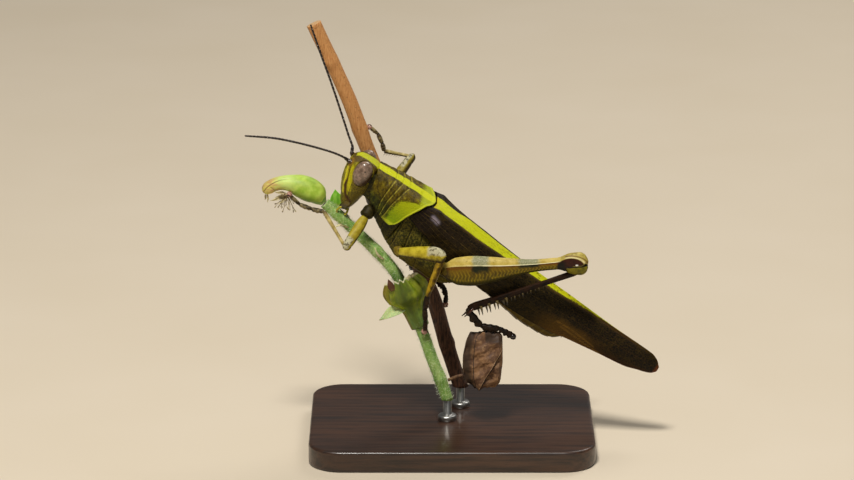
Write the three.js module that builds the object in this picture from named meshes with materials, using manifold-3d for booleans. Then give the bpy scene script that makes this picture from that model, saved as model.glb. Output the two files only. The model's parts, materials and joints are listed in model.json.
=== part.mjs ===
// A life-size Javanese grasshopper (Valanga nigricornis) clinging to a green stem and a dry stick,
// held over a flat base by two short rods.
// Millimetres, +Z up. The origin is the middle of the base's underside. The insect faces -X,
// head up, and its left side faces -Y.

import * as THREE from 'three';
import { mergeVertices } from 'three/addons/utils/BufferGeometryUtils.js';
import Module from 'manifold-3d';

const wasm = await Module();
wasm.setup();

// ---------------------------------------------------------------------------------------------
// Driving sizes

const PITCH = 34;                 // the body slopes down towards its tail, in degrees
const ROLL = 12;                  // and leans a little on to its left side
const COLLAR = [-14.4, -3, 60.4]; // where the front edge of the pronotum crosses the back

const PRONOTUM_LENGTH = 13.4;     // along the middle of the back
const SHELL = 0.5;                // thickness of the pronotum's plate and of each wing
const CLEARANCE = 0.12;           // between neighbouring pieces
const SOCKET_CLEARANCE = 0.05;    // round a joint's ball in its socket

const THORAX_END = 26.4;          // distances behind the collar
const ABDOMEN_END = 52;
const WING_TIP = 72.9;

const EYE = { centre: [-3.0, 2.9, -2.6], radii: [2.0, 1.7, 2.95], tilt: -10 };

const CUT_HEIGHT = 9;             // where the stem and the stick are sawn off, above the floor
const STEM_RADIUS = 1.25;
const STICK_RADIUS = 1.62;

const BASE = { length: 60, width: 46, height: 4.5, corner: 7, bevel: 0.6 };
const ROD_RADIUS = 0.9;
const FOOT_RADIUS = 2;            // of the collar a rod stands in
const FOOT_HEIGHT = 1.2;
const FOOT_CHAMFER = 0.3;

// ---------------------------------------------------------------------------------------------
// Shape tools

const radians = THREE.MathUtils.degToRad;
const point = (x, y, z) => new THREE.Vector3(x, y, z);

/** The value at x of a smooth curve through a few [x, value] knots, with no overshoot. */
function smooth(knots, x) {
  const last = knots.length - 1;
  if (x <= knots[0][0]) return knots[0][1];
  if (x >= knots[last][0]) return knots[last][1];
  const slope = (k) => (knots[k + 1][1] - knots[k][1]) / (knots[k + 1][0] - knots[k][0]);
  const tangent = (k) => {
    if (k === 0) return slope(0);
    if (k === last) return slope(last - 1);
    const product = slope(k - 1) * slope(k);
    return product <= 0 ? 0 : (2 * product) / (slope(k - 1) + slope(k));
  };
  let i = 0;
  while (x > knots[i + 1][0]) i += 1;
  const width = knots[i + 1][0] - knots[i][0];
  const t = (x - knots[i][0]) / width;
  return (
    (2 * t ** 3 - 3 * t ** 2 + 1) * knots[i][1] +
    (t ** 3 - 2 * t ** 2 + t) * width * tangent(i) +
    (3 * t ** 2 - 2 * t ** 3) * knots[i + 1][1] +
    (t ** 3 - t ** 2) * width * tangent(i + 1)
  );
}

/** Evenly spaced numbers from first to last. */
const spread = (first, last, count) =>
  Array.from({ length: count }, (_, k) => first + ((last - first) * k) / (count - 1));

/** An indexed geometry whose faces point outwards. */
function closedGeometry(points, faces) {
  let volume = 0;
  for (let k = 0; k < faces.length; k += 3) {
    const [a, b, c] = [points[faces[k]], points[faces[k + 1]], points[faces[k + 2]]];
    volume += a.dot(b.clone().cross(c));
  }
  const geometry = new THREE.BufferGeometry().setFromPoints(points);
  geometry.setIndex(volume > 0 ? faces : faces.reverse());
  return geometry;
}

/**
 * A closed solid through a row of rings of points. Its two ends are closed to their middles
 * ('fan'), or, for a ring that is an outer line and an inner line back, straight across ('fold').
 */
function loft(rings, ends = 'fan') {
  const count = rings[0].length;
  const points = rings.flat();
  const faces = [];
  for (let row = 0; row < rings.length - 1; row += 1) {
    for (let k = 0; k < count; k += 1) {
      const a = row * count + k;
      const b = row * count + ((k + 1) % count);
      faces.push(a, b, b + count, a, b + count, a + count);
    }
  }
  const close = (first, atStart) => {
    const face = (a, b, c) => (atStart ? faces.push(a, c, b) : faces.push(a, b, c));
    if (ends === 'fan') {
      const middle = points.length;
      const ring = points.slice(first, first + count);
      points.push(ring.reduce((sum, p) => sum.add(p), point(0, 0, 0)).divideScalar(count));
      for (let k = 0; k < count; k += 1) face(first + k, first + ((k + 1) % count), middle);
    } else {
      for (let k = 0; k < count / 2 - 1; k += 1) {
        const far = first + count - 1 - k;
        face(first + k, first + k + 1, far - 1);
        face(first + k, far - 1, far);
      }
    }
  };
  close(0, true);
  close((rings.length - 1) * count, false);
  return closedGeometry(points, faces);
}

/** A straight limb piece. Profile rows are [part of the way, half width, above, below]. */
function limb(from, to, up, profile, { sides = 8, swell = 0 } = {}) {
  const start = point(...from);
  const along = point(...to).sub(start);
  const ahead = along.clone().normalize();
  const side = ahead.clone().cross(point(...up)).normalize();
  const lift = side.clone().cross(ahead);
  const rings = profile.map(([t, wide, above, below = above], row) => {
    const end = row === 0 ? -1 : row === profile.length - 1 ? 1 : 0;
    const centre = start.clone().addScaledVector(along, t).addScaledVector(ahead, end * swell);
    return Array.from({ length: sides }, (_, k) => {
      const angle = (2 * Math.PI * (k + 0.5)) / sides;
      const height = (Math.sin(angle) > 0 ? above : below) + swell;
      return centre
        .clone()
        .addScaledVector(side, Math.cos(angle) * (wide + swell))
        .addScaledVector(lift, Math.sin(angle) * height);
    });
  });
  return loft(rings);
}

/** A round tube along a smooth curve, with [part of the way, radius] knots. */
function tube(places, radii, steps, sides) {
  const curve = new THREE.CatmullRomCurve3(places.map((p) => point(...p)), false, 'centripetal');
  const frames = curve.computeFrenetFrames(steps, false);
  const rings = spread(0, 1, steps + 1).map((t, row) => {
    const centre = curve.getPointAt(t);
    const radius = smooth(radii, t);
    return Array.from({ length: sides }, (_, k) => {
      const angle = (2 * Math.PI * k) / sides;
      return centre
        .clone()
        .addScaledVector(frames.normals[row], Math.cos(angle) * radius)
        .addScaledVector(frames.binormals[row], Math.sin(angle) * radius);
    });
  });
  return loft(rings);
}

/** An ellipsoid, tilted nose down by some degrees. */
function ellipsoid(centre, radii, tilt, around, rows) {
  const geometry = new THREE.SphereGeometry(1, around, rows);
  geometry.scale(...radii);
  geometry.rotateY(radians(tilt));
  return geometry.translate(...centre);
}

/** A geometry as a solid that can be joined and cut. */
function solid(geometry) {
  const bare = new THREE.BufferGeometry();
  bare.setAttribute('position', geometry.getAttribute('position'));
  bare.setIndex(geometry.index);
  const merged = mergeVertices(bare, 1e-4);
  return new wasm.Manifold(
    new wasm.Mesh({
      numProp: 3,
      vertProperties: new Float32Array(merged.getAttribute('position').array),
      triVerts: new Uint32Array(merged.index.array),
    }),
  );
}

/** A solid as a geometry again. */
function surface(manifold) {
  const mesh = manifold.getMesh();
  const geometry = new THREE.BufferGeometry();
  geometry.setAttribute('position', new THREE.BufferAttribute(mesh.vertProperties, 3));
  geometry.setIndex(new THREE.BufferAttribute(mesh.triVerts, 1));
  return geometry;
}

const join = (...pieces) => surface(pieces.map(solid).reduce((whole, piece) => whole.add(piece)));
const cut = (body, ...tools) =>
  surface(tools.map(solid).reduce((left, tool) => left.subtract(tool), solid(body)));
const mirrored = ([x, y, z], side) => [x, side * y, z];

// ---------------------------------------------------------------------------------------------
// Materials

const paint = (color, roughness = 0.55, metalness = 0) =>
  new THREE.MeshStandardMaterial({ color, roughness, metalness });

const materials = {
  headOlive: paint(0x8f8a1e),
  eyeGrey: paint(0x7d6a66, 0.2),
  feelerBrown: paint(0x2a1a12),
  pronotumGreen: paint(0x9aa41c),
  bodyOlive: paint(0x4d4a16),
  wingBrown: paint(0x4a3d22),
  hindWingBrown: paint(0x5f4a30),
  legYellow: paint(0xb3a02e),
  shinDark: paint(0x2e1f18),
  stickBrown: paint(0xa0683c, 0.85),
  stemGreen: paint(0x8db566, 0.75),
  budGreen: paint(0xa4c84a, 0.6),
  dryLeaf: paint(0x6b4a34, 0.9),
  baseWood: paint(0x2c2119, 0.45),
  rodSteel: paint(0x9a9a98, 0.35, 1),
};

const insect = new THREE.Group();
insect.position.set(...COLLAR);
insect.rotation.set(radians(ROLL), radians(PITCH), 0, 'YXZ');
const perch = new THREE.Group();
const stand = new THREE.Group();

function add(group, name, geometry, material) {
  const mesh = new THREE.Mesh(geometry, material);
  mesh.geometry.computeVertexNormals();
  mesh.name = name;
  group.add(mesh);
  return mesh;
}

// ---------------------------------------------------------------------------------------------
// Head. Lengths on the insect run back from the collar (x), to its right (y) and up (z).

/** Level rounded sections, one to a row; 2 makes them oval and more makes them squarer. */
function stackedSections(rows, squareness, sides) {
  const rings = rows.map(([height, front, back, halfWidth]) =>
    Array.from({ length: sides }, (_, k) => {
      const angle = (2 * Math.PI * k) / sides;
      const pull = (value) => Math.sign(value) * Math.abs(value) ** (2 / squareness);
      const depth = (back - front) / 2;
      return point(
        (front + back) / 2 + depth * pull(Math.cos(angle)),
        halfWidth * pull(Math.sin(angle)),
        height,
      );
    }),
  );
  return loft(rings);
}

// [height, front, back, half width] from the top of the head down to the mouth
const HEAD_ROWS = [
  [0.05, -4.4, -1.3, 1.1],
  [-0.2, -5.3, -0.6, 2.1],
  [-0.9, -6.05, -0.25, 2.9],
  [-1.8, -6.5, -0.1, 3.35],
  [-3.2, -6.5, 0.1, 3.7],
  [-4.8, -6.33, 0.6, 3.85],
  [-6.1, -6.0, 0.5, 3.85],
  [-7.6, -5.35, 0.05, 3.6],
  [-9.2, -4.5, -0.1, 3.1],
  [-10.4, -3.75, -0.3, 2.6],
  [-11.0, -3.4, -0.45, 2.35],
];
const MOUTH_ROWS = [
  [-11.1, -3.3, -0.5, 2.25],
  [-11.9, -2.6, -0.45, 1.9],
  [-12.5, -1.95, -0.5, 1.4],
  [-12.85, -1.4, -0.6, 0.8],
];

const eyeAt = (side, swell = 0) =>
  ellipsoid(mirrored(EYE.centre, side), EYE.radii.map((r) => r + swell), EYE.tilt, 12, 8);

const FEELERS = {
  left: [[-6.7, -1.3, -2.5], [-7.8, -1.8, -2.2], [-10.2, -3, -2], [-13.5, -4.8, -2.1], [-17.9, -7, -2.6],
    [-23, -9.6, -3.5], [-28.6, -12.4, -5.4]],
  right: [[-6.7, 1.3, -1.9], [-7.2, 1.9, -1.0], [-9.1, 2.9, 0.2], [-12.7, 4.2, 2.8], [-18.5, 6, 7],
    [-23.9, 7.6, 10.7], [-28.6, 9.1, 14]],
};
const FEELER_RADII = [[0, 0.34], [1, 0.26]];
const HEAD_SQUARENESS = 2.4;

add(insect, 'head',
  cut(stackedSections(HEAD_ROWS, HEAD_SQUARENESS, 16), eyeAt(-1, CLEARANCE), eyeAt(1, CLEARANCE)),
  materials.headOlive);

const PALP = [[0, 0.28, 0.28], [0.9, 0.27, 0.27], [1, 0.12, 0.12]];
const PALP_REACH = [[-1.8, -2.3], [-0.9, -0.7]];   // where the front and rear pairs start and end
const palps = PALP_REACH.flatMap(([rootX, tipX]) => [-1, 1].map((side) =>
  limb([rootX, side * 1.2, -11.8], [tipX, side * 2.1, -12.9], [0, 0, 1], PALP, { sides: 5 })));
add(insect, 'mouthparts',
  join(stackedSections(MOUTH_ROWS, HEAD_SQUARENESS, 14), ...palps), materials.headOlive);

for (const [name, side] of [['left', -1], ['right', 1]]) {
  add(insect, `eye_${name}`, eyeAt(side), materials.eyeGrey);
  add(insect, `antenna_${name}`, tube(FEELERS[name], FEELER_RADII, 12, 6), materials.feelerBrown);
}

// ---------------------------------------------------------------------------------------------
// Pronotum: the saddle-shaped plate behind the head. u runs from its front edge to its rear
// edge, and v from the middle of the back (0) down to the lower edge (1).

const PRONOTUM_FRONT = [[0, 0], [0.35, 0.1], [0.7, 0.7], [0.92, 1.8], [1, 2.9]];
const PRONOTUM_REAR = [[0, PRONOTUM_LENGTH], [0.12, 13.1], [0.35, 11.9], [0.7, 9.7], [0.92, 8.6],
  [1, 7.4]];
const SULCI = [0.26, 0.39, 0.52];   // the cross grooves, as parts of its length
const SULCUS_DEPTH = 0.12;
const SULCUS_WIDTH = 0.018;

function pronotumPoint(u, v, side, inset = 0) {
  const dips = SULCI.map((at) => Math.exp(-(((u - at) / SULCUS_WIDTH) ** 2)));
  const inwards = inset + SULCUS_DEPTH * Math.max(...dips);
  const discHalf = smooth([[0, 2.9], [1, 4.3]], u);
  const sideHalf = smooth([[0, 4.15], [0.5, 4.96], [1, 5.5]], u);
  const top = smooth([[0, 0], [0.4, 0.12], [1, -0.1]], u);
  const discHeight = top + smooth([[0, -0.42], [1, 0.12]], u);
  const lower = smooth([[0, -6.9], [0.25, -7.4], [0.7, -8.05], [1, -8.15]], u);
  const y = smooth([[0, 0], [0.36, discHalf], [0.52, sideHalf - 0.25], [0.7, sideHalf],
    [1, sideHalf - 0.35]], v);
  const z = smooth([[0, top], [0.36, discHeight], [0.52, -1.5], [0.7, -3.7], [1, lower]], v);
  const flatness = smooth([[0, 1], [0.34, 0.95], [0.5, 0.4], [0.66, 0], [1, 0]], v);
  const x = smooth(PRONOTUM_FRONT, v) * (1 - u) + smooth(PRONOTUM_REAR, v) * u;
  return point(x, side * Math.max(y - inwards * (1 - flatness), 0), z - inwards * flatness);
}

function pronotumShell() {
  const stations = [0, 0.13, 0.235, 0.26, 0.32, 0.39, 0.45, 0.52, 0.545, 0.68, 0.84, 1];
  const across = [-1, -0.85, -0.7, -0.56, -0.44, -0.33, 0, 0.33, 0.44, 0.56, 0.7, 0.85, 1];
  const rings = stations.map((u) => {
    const line = (inset) => across.map((v) => pronotumPoint(u, Math.abs(v), Math.sign(v), inset));
    return [...line(0), ...line(SHELL).reverse()];
  });
  return loft(rings, 'fold');
}
add(insect, 'pronotum', pronotumShell(), materials.pronotumGreen);

// ---------------------------------------------------------------------------------------------
// Wings at rest, folded like a roof. v runs from the ridge of the back (0) to the lower edge (1).

// The four lines a folded wing hangs on, each as [distance behind the collar, half width or height];
// the drop is how far its shoulder lies below the ridge.
const WING_LINES = {
  ridge: [[9, -0.9], [13, -0.5], [16, -0.05], [21, 0.1], [25, -0.25], [30.7, -0.75], [36, -1.0],
    [42, -1.2], [48, -1.4], [61.5, -2.15], [66.7, -2.25], [69.8, -2.4], [71.5, -3.0], [WING_TIP, -4.2]],
  shoulder: [[9, 3.4], [13, 4.0], [16, 4.2], [19, 3.6], [22, 3.1], [26, 3.2], [30, 3.0], [36, 2.4],
    [42, 1.8], [48, 1.4], [60, 0.95], [70, 0.6], [WING_TIP, 0.3]],
  drop: [[9, -0.5], [14.4, -0.55], [16, 0], [19, 0.45], [22, 0.6], [48, 0.6], [60, 0.45],
    [WING_TIP, 0.3]],
  side: [[9, 4.4], [13, 4.9], [16, 5.3], [20, 5.6], [25, 5.4], [30, 5.1], [36, 4.7], [42, 4.2],
    [48, 3.6], [53.5, 3.0], [60, 2.35], [66, 1.8], [70, 1.3], [WING_TIP, 0.5]],
  edge: [[9, -4.4], [12, -5.2], [20, -7.1], [28, -8.8], [36, -9.6], [44, -9.75], [53.5, -8.8],
    [60.6, -8.05], [66.4, -7.5], [69, -6.75], [72, -5.95], [WING_TIP, -5.1]],
};

/** Half width and height of the folded wing's outside. */
function wingSection(x, v) {
  const ridge = smooth(WING_LINES.ridge, x);
  const shoulder = smooth(WING_LINES.shoulder, x);
  const side = smooth(WING_LINES.side, x);
  const edge = smooth(WING_LINES.edge, x);
  const shoulderHeight = ridge - smooth(WING_LINES.drop, x);
  const sideHeight = (shoulderHeight * 1.1 + edge) / 2.1;
  return {
    y: smooth([[0, 0], [0.35, shoulder], [0.66, side], [1, 0.9 * side]], v),
    z: smooth([[0, ridge], [0.35, shoulderHeight], [0.66, sideHeight], [1, edge]], v),
  };
}

/** A point at a depth under the wing's outside. */
function wingPoint(x, v, side, depth) {
  const here = wingSection(x, v);
  const [before, after] = [wingSection(x, v - 0.05), wingSection(x, v + 0.05)];
  const along = new THREE.Vector2(after.y - before.y, after.z - before.z).normalize();
  const y = here.y + along.y * depth;
  return point(x, side * Math.max(y, CLEARANCE / 2), here.z - along.x * depth);
}

/** Where the front edge of a wing starts, just behind the pronotum's rear edge. */
const wingStart = (v) => smooth([[0, 13.8], [0.3, 12.95], [0.55, 11.3], [0.8, 10.5], [1, 10.4]], v);

/** One folded wing at a depth under the outside of the roof. */
function wing(side, { start, stations, across, depth }) {
  const rings = stations.map((t) => {
    const line = (inset) => across.map((v) =>
      wingPoint(THREE.MathUtils.lerp(start(v), WING_TIP, t), v, side, inset));
    return [...line(depth), ...line(depth + SHELL).reverse()];
  });
  return loft(rings, 'fold');
}

const TEGMEN = {
  start: wingStart,
  stations: [0, 0.06, 0.14, 0.25, 0.38, 0.52, 0.67, 0.8, 0.9, 0.96, 1],
  across: spread(0, 1, 8),
  depth: 0,
};
const HIND_WING = {
  start: () => 28,
  stations: [0, 0.15, 0.3, 0.45, 0.6, 0.75, 0.86],
  across: spread(0.2, 0.95, 6),
  depth: SHELL + 2 * CLEARANCE,
};
for (const [name, side] of [['left', -1], ['right', 1]]) {
  add(insect, `tegmen_${name}`, wing(side, TEGMEN), materials.wingBrown);
  add(insect, `hindwing_${name}`, wing(side, HIND_WING), materials.hindWingBrown);
}

// ---------------------------------------------------------------------------------------------
// Trunk: the prothorax under the pronotum, the winged thorax, and the abdomen.

const BELLY = [[1, -8.3], [2.5, -9.6], [4.5, -10.6], [7, -12.1], [9.4, -13.6], [13.8, -15.3], [22, -15.4],
  [25, -14.2], [27, -12.3], [30.4, -11.4], [37.6, -12.05], [43.2, -12.8], [48.2, -12.6],
  [50.6, -11.8], [ABDOMEN_END, -10.4]];

/**
 * A ring through a half outline of [part of the way round, half width, height] knots, from the
 * middle of the back to the middle of the belly.
 */
function trunkRing(x, halfOutline, count) {
  const half = spread(0, 1, count).map((t) => ({
    y: smooth(halfOutline.map(([at, y]) => [at, y]), t),
    z: smooth(halfOutline.map(([at, , z]) => [at, z]), t),
  }));
  const right = half.map(({ y, z }) => point(x, y, z));
  const left = half.slice(1, -1).reverse().map(({ y, z }) => point(x, -y, z));
  return [...right, ...left];
}

function prothoraxRing(x) {
  const backHalf = smooth([[1, 2.2], [11, 3.2]], x);
  const sideHalf = smooth([[1, 3.35], [11, 4.45]], x);
  const bellyHalf = smooth([[1, 2.5], [11, 3.1]], x);
  const belly = smooth(BELLY, x);
  return trunkRing(x, [[0, 0, -1.1], [0.2, backHalf, -1.35], [0.42, sideHalf, -3.4],
    [0.66, sideHalf - 0.1, -6.6], [0.85, bellyHalf, belly + 1.1], [1, 0, belly]], 9);
}
const prothorax = loft(spread(1.05, 9.3, 6).map(prothoraxRing));

const THORAX_DEPTH = SHELL + 3.5 * CLEARANCE;   // under the outside of the folded wings

function thoraxRing(x) {
  const belly = smooth(BELLY, x);
  const [under, flank, low] = [0.35, 0.66, 1].map((v) => wingPoint(x, v, 1, THORAX_DEPTH));
  const top = smooth(WING_LINES.ridge, x) - THORAX_DEPTH;
  return trunkRing(x, [[0, 0, top], [0.16, under.y, under.z], [0.34, flank.y, flank.z],
    [0.5, low.y, low.z], [0.66, 5.0, (low.z + belly) / 2], [0.84, 3.5, belly + 1.3], [1, 0, belly]], 10);
}
const thorax = loft([9.55, 11.5, 14, 17, 20, 22.5, 25, THORAX_END].map(thoraxRing));

const ABDOMEN_HALF = [[26, 3.4], [36, 2.9], [43, 2.5], [48, 2.0], [50.5, 1.5], [ABDOMEN_END, 0.8]];

function abdomenRing(x) {
  const tail = THREE.MathUtils.smoothstep(x, 47, ABDOMEN_END + 1.5);
  const top = smooth(WING_LINES.ridge, x) - 2.1 - 3.4 * tail;
  const belly = smooth(BELLY, x);
  const half = smooth(ABDOMEN_HALF, x);
  const down = (part) => THREE.MathUtils.lerp(top, belly, part);
  return trunkRing(x, [[0, 0, top], [0.2, 0.72 * half, down(0.16)], [0.5, half, down(0.5)],
    [0.8, 0.78 * half, down(0.83)], [1, 0, belly]], 9);
}
const abdomen = loft([26.7, 29, 33, 37, 41, 45, 48, 50.5, ABDOMEN_END].map(abdomenRing));

// ---------------------------------------------------------------------------------------------
// Legs. Joints of each leg: where it leaves the body, hip, knee, ankle, and the ends of the three
// foot pieces. A hind shin hinges at the heel, under the knee. Up is the side the leg's back is on.

const UPRIGHT = [-0.56, 0.17, 0.81];   // the world's up, in the insect's own directions

const LEGS = {
  fore_left: {
    root: [2.7, -2.4, -8.2], hip: [2.7, -4.0, -10.1], knee: [2.4, -9.7, -15.7],
    ankle: [-5.1, -4.9, -13.7], foot: [[-7.5, -4.6, -14.9], [-10.1, -4.2, -15.7], [-12.5, -3.7, -15.5]],
    up: [-0.8, 0, 0.6],
  },
  fore_right: {
    root: [2.9, 2.2, -8.4], hip: [4.4, 4.9, -8.8], knee: [5.5, 12.3, 0],
    ankle: [-0.2, 10.9, -1.8], foot: [[-1.5, 11.0, -0.6], [-3.4, 11.2, 0.6], [-5.2, 11.6, 0.7]],
    up: [-0.7, 0.6, 0.4],
  },
  mid_left: {
    root: [12.4, -3.0, -12.1], hip: [12.6, -5.8, -11.8], knee: [19.6, -10.1, -4.9],
    ankle: [22.8, -6.4, -16.4], foot: [[24.1, -6.4, -19.3], [25.8, -6.1, -21.7], [27.0, -5.8, -23.7]],
    up: UPRIGHT,
  },
  mid_right: {
    root: [12.6, 2.8, -12.2], hip: [13.0, 5.5, -11.6], knee: [22.3, 12.1, -12.6],
    ankle: [25.2, 8.6, -19.4], foot: [[27.3, 8.1, -19.7], [28.6, 7.7, -20.8], [29.3, 7.3, -22.1]],
    up: UPRIGHT,
  },
  hind_left: {
    root: [22.2, -4.0, -10.1], hip: [22.4, -7.3, -8.9], knee: [44.4, -5.8, 8.85], heel: [45.7, -5.8, 7.7],
    ankle: [31.3, -6.2, -14.0], foot: [[36.1, -5.4, -15.9], [39.6, -4.8, -14.5], [42.7, -4.6, -14.3]],
    up: UPRIGHT,
  },
  hind_right: {
    root: [22.2, 4.0, -10.1], hip: [22.2, 7.3, -8.9], knee: [50.3, 10.3, -8.4], heel: [51.2, 10.3, -9.7],
    ankle: [26.4, 12.5, -16.2], foot: [[23.5, 12.1, -17.4], [20.5, 10.5, -18.6], [18.9, 8.6, -19.9]],
    up: [0, 0, 1],
  },
};

// Profiles along the pieces: [part of the way, half width, above, below]
const FORE_COXA = [[0, 1.0, 1.0], [0.3, 1.25, 1.25], [0.75, 1.35, 1.35], [1, 0.8, 0.8]];
const FORE_FEMUR = [[-0.03, 0.4, 0.4], [0.06, 0.8, 0.8], [0.3, 0.95, 1.0], [0.65, 0.85, 0.95],
  [0.88, 0.78, 0.85], [0.98, 0.72, 0.78], [1.05, 0.35, 0.35]];
const FORE_TIBIA = [[0, 0.2, 0.2], [0.03, 0.38, 0.38], [0.2, 0.33, 0.33], [0.95, 0.42, 0.42],
  [0.99, 0.34, 0.34]];
const MID_COXA = [[0, 1.0, 1.0], [0.3, 1.2, 1.2], [0.75, 1.05, 1.05], [1, 0.6, 0.6]];
const MID_FEMUR = [[-0.03, 0.35, 0.4, 0.4], [0.05, 0.75, 0.95, 0.75], [0.2, 0.95, 1.2, 0.85],
  [0.5, 1.05, 1.5, 1.1], [0.83, 1.0, 1.6, 1.5], [0.97, 0.85, 1.2, 1.5], [1.05, 0.4, 0.55, 0.7]];
const MID_TIBIA = [[0, 0.25, 0.25], [0.03, 0.45, 0.45], [0.2, 0.68, 0.55], [0.55, 0.65, 0.55],
  [0.9, 0.48, 0.46], [0.99, 0.38, 0.36]];
const HIND_COXA = [[0, 1.3, 1.3], [0.5, 1.4, 1.4], [0.85, 1.2, 1.2], [1, 0.8, 0.8]];
const HIND_FEMUR = [
  [-0.02, 0.5, 0.9, 0.9], [0.03, 0.95, 1.9, 2.3], [0.1, 1.35, 2.6, 3.2], [0.2, 1.5, 2.75, 3.5],
  [0.34, 1.35, 2.35, 3.05], [0.5, 1.0, 1.75, 2.05], [0.68, 0.66, 1.25, 1.2], [0.82, 0.65, 1.35, 1.05],
  [0.94, 0.95, 2.3, 2.3], [1.0, 0.9, 2.3, 2.6], [1.045, 0.55, 1.5, 1.6],
];
const HIND_TIBIA = [[0, 0.35, 0.35], [0.025, 0.55, 0.75], [0.08, 0.5, 0.65], [0.3, 0.45, 0.58],
  [0.7, 0.5, 0.68], [0.93, 0.6, 0.85], [0.985, 0.45, 0.6]];

const FOOT_BACK = 0.28;   // how high the back of a foot stands over its line
// [pads passed, half width, below] along the three pads
const PADS = [[0.03, 0.3, 0.28], [0.6, 0.4, 0.5], [0.97, 0.24, 0.25], [1.6, 0.38, 0.45],
  [1.97, 0.22, 0.24], [2.6, 0.36, 0.4], [3.04, 0.2, 0.2]];
const CLAW = [[0, 0.2, 0.2], [1, 0.06, 0.06]];
const CLAW_REACH = 0.8;
const CLAW_SPLAY = 0.7;

/** The foot: three jointed pads in a row, the last ending in two claws. */
function foot(leg, scale) {
  const stops = [leg.ankle, ...leg.foot].map((p) => point(...p));
  const rings = PADS.map(([at, wide, below]) => {
    const piece = Math.min(Math.floor(at), 2);
    const ahead = stops[piece + 1].clone().sub(stops[piece]).normalize();
    const centre = stops[piece].clone().lerp(stops[piece + 1], at - piece);
    const side = ahead.clone().cross(point(...leg.up)).normalize();
    const lift = side.clone().cross(ahead);
    return spread(0.1, 0.9, 5).map((turn) => {
      const angle = 2 * Math.PI * turn;
      const height = Math.sin(angle) > 0 ? FOOT_BACK : below;
      return centre
        .clone()
        .addScaledVector(side, Math.cos(angle) * wide * scale)
        .addScaledVector(lift, Math.sin(angle) * height * scale);
    });
  });
  const [before, tip] = stops.slice(-2);
  const ahead = tip.clone().sub(before).normalize();
  const out = ahead.clone().cross(point(...leg.up)).normalize();
  const root = tip.clone().addScaledVector(ahead, -0.15);
  const claws = [-1, 1].map((side) => {
    const end = tip.clone().addScaledVector(ahead, CLAW_REACH).addScaledVector(out, side * CLAW_SPLAY);
    return limb(root.toArray(), end.toArray(), leg.up, CLAW, { sides: 3 });
  });
  return join(loft(rings), ...claws);
}

const SPINE = [[0, 0.3, 0.3], [1, 0.06, 0.06]];
const SPINE_PLACES = spread(0.62, 0.9, 3);   // parts of the way down a hind shin
const SPINE_SHAPE = { length: 1.9, lean: 0.4, splay: 0.5 };
const SPUR_PLACE = 0.95;
const SPUR_SHAPE = { length: 1.0, lean: 1.3, splay: 1.1 };

/** Two rows of spines along the lower edge of a hind shin, and two spurs at its end. */
function shinSpines(leg) {
  const start = point(...leg.heel);
  const end = point(...leg.ankle);
  const ahead = end.clone().sub(start).normalize();
  const out = ahead.clone().cross(point(...leg.up)).normalize();
  const down = out.clone().cross(ahead).negate();
  const spine = (t, side, { length, lean, splay }) => {
    const base = start.clone().lerp(end, t).addScaledVector(out, side * 0.25).addScaledVector(down, 0.25);
    const tip = base
      .clone()
      .addScaledVector(down, length)
      .addScaledVector(ahead, lean)
      .addScaledVector(out, side * splay);
    return limb(base.toArray(), tip.toArray(), ahead.toArray(), SPINE, { sides: 3 });
  };
  return [-1, 1].flatMap((side) => [
    ...SPINE_PLACES.map((t) => spine(t + 0.01 * side, side, SPINE_SHAPE)),
    spine(SPUR_PLACE, side, SPUR_SHAPE),
  ]);
}

const FOOT_SCALES = { fore: 1, mid: 1, hind: 1.6 };
const ANKLE = [[0.02, 0.3, 0.3], [0.65, 0.42, 0.5]];
const PROFILES = {
  fore: { coxa: FORE_COXA, femur: FORE_FEMUR, tibia: FORE_TIBIA },
  mid: { coxa: MID_COXA, femur: MID_FEMUR, tibia: MID_TIBIA },
  hind: { coxa: HIND_COXA, femur: HIND_FEMUR, tibia: HIND_TIBIA },
};

const sockets = { prothorax: [], thorax: [] };
for (const [name, leg] of Object.entries(LEGS)) {
  const pair = name.split('_')[0];
  const hind = pair === 'hind';
  const scale = FOOT_SCALES[pair];
  const profile = PROFILES[pair];
  const coxa = (swell = 0) => limb(leg.root, leg.hip, leg.up, profile.coxa, { sides: 7, swell });
  const femur = (swell = 0) =>
    limb(leg.hip, leg.knee, leg.up, profile.femur, { sides: hind ? 10 : 7, swell });
  const tibia = (swell = 0) =>
    limb(leg.heel ?? leg.knee, leg.ankle, leg.up, profile.tibia, { sides: 6, swell });
  const ankleProfile = ANKLE.map(([t, ...sizes]) => [t, ...sizes.map((size) => size * scale)]);
  const footSocket = limb(leg.ankle, leg.foot[0], leg.up, ankleProfile,
    { sides: 5, swell: SOCKET_CLEARANCE });
  const shin = hind ? join(tibia(), ...shinSpines(leg)) : tibia();
  add(insect, `coxa_${name}`, cut(coxa(), femur(SOCKET_CLEARANCE)), materials.bodyOlive);
  add(insect, `femur_${name}`, cut(femur(), tibia(SOCKET_CLEARANCE)), materials.legYellow);
  add(insect, `tibia_${name}`, cut(shin, footSocket), hind ? materials.shinDark : materials.legYellow);
  add(insect, `tarsus_${name}`, foot(leg, scale), materials.shinDark);
  const segment = pair === 'fore' ? 'prothorax' : 'thorax';
  sockets[segment].push(coxa(SOCKET_CLEARANCE), femur(SOCKET_CLEARANCE));
}

add(insect, 'prothorax', cut(prothorax, ...sockets.prothorax), materials.bodyOlive);
add(insect, 'thorax', cut(thorax, ...sockets.thorax), materials.bodyOlive);
add(insect, 'abdomen', abdomen, materials.bodyOlive);

// ---------------------------------------------------------------------------------------------
// Perch: a dry stick, a green stem with its bud and small leaves, and a withered leaf.

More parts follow.
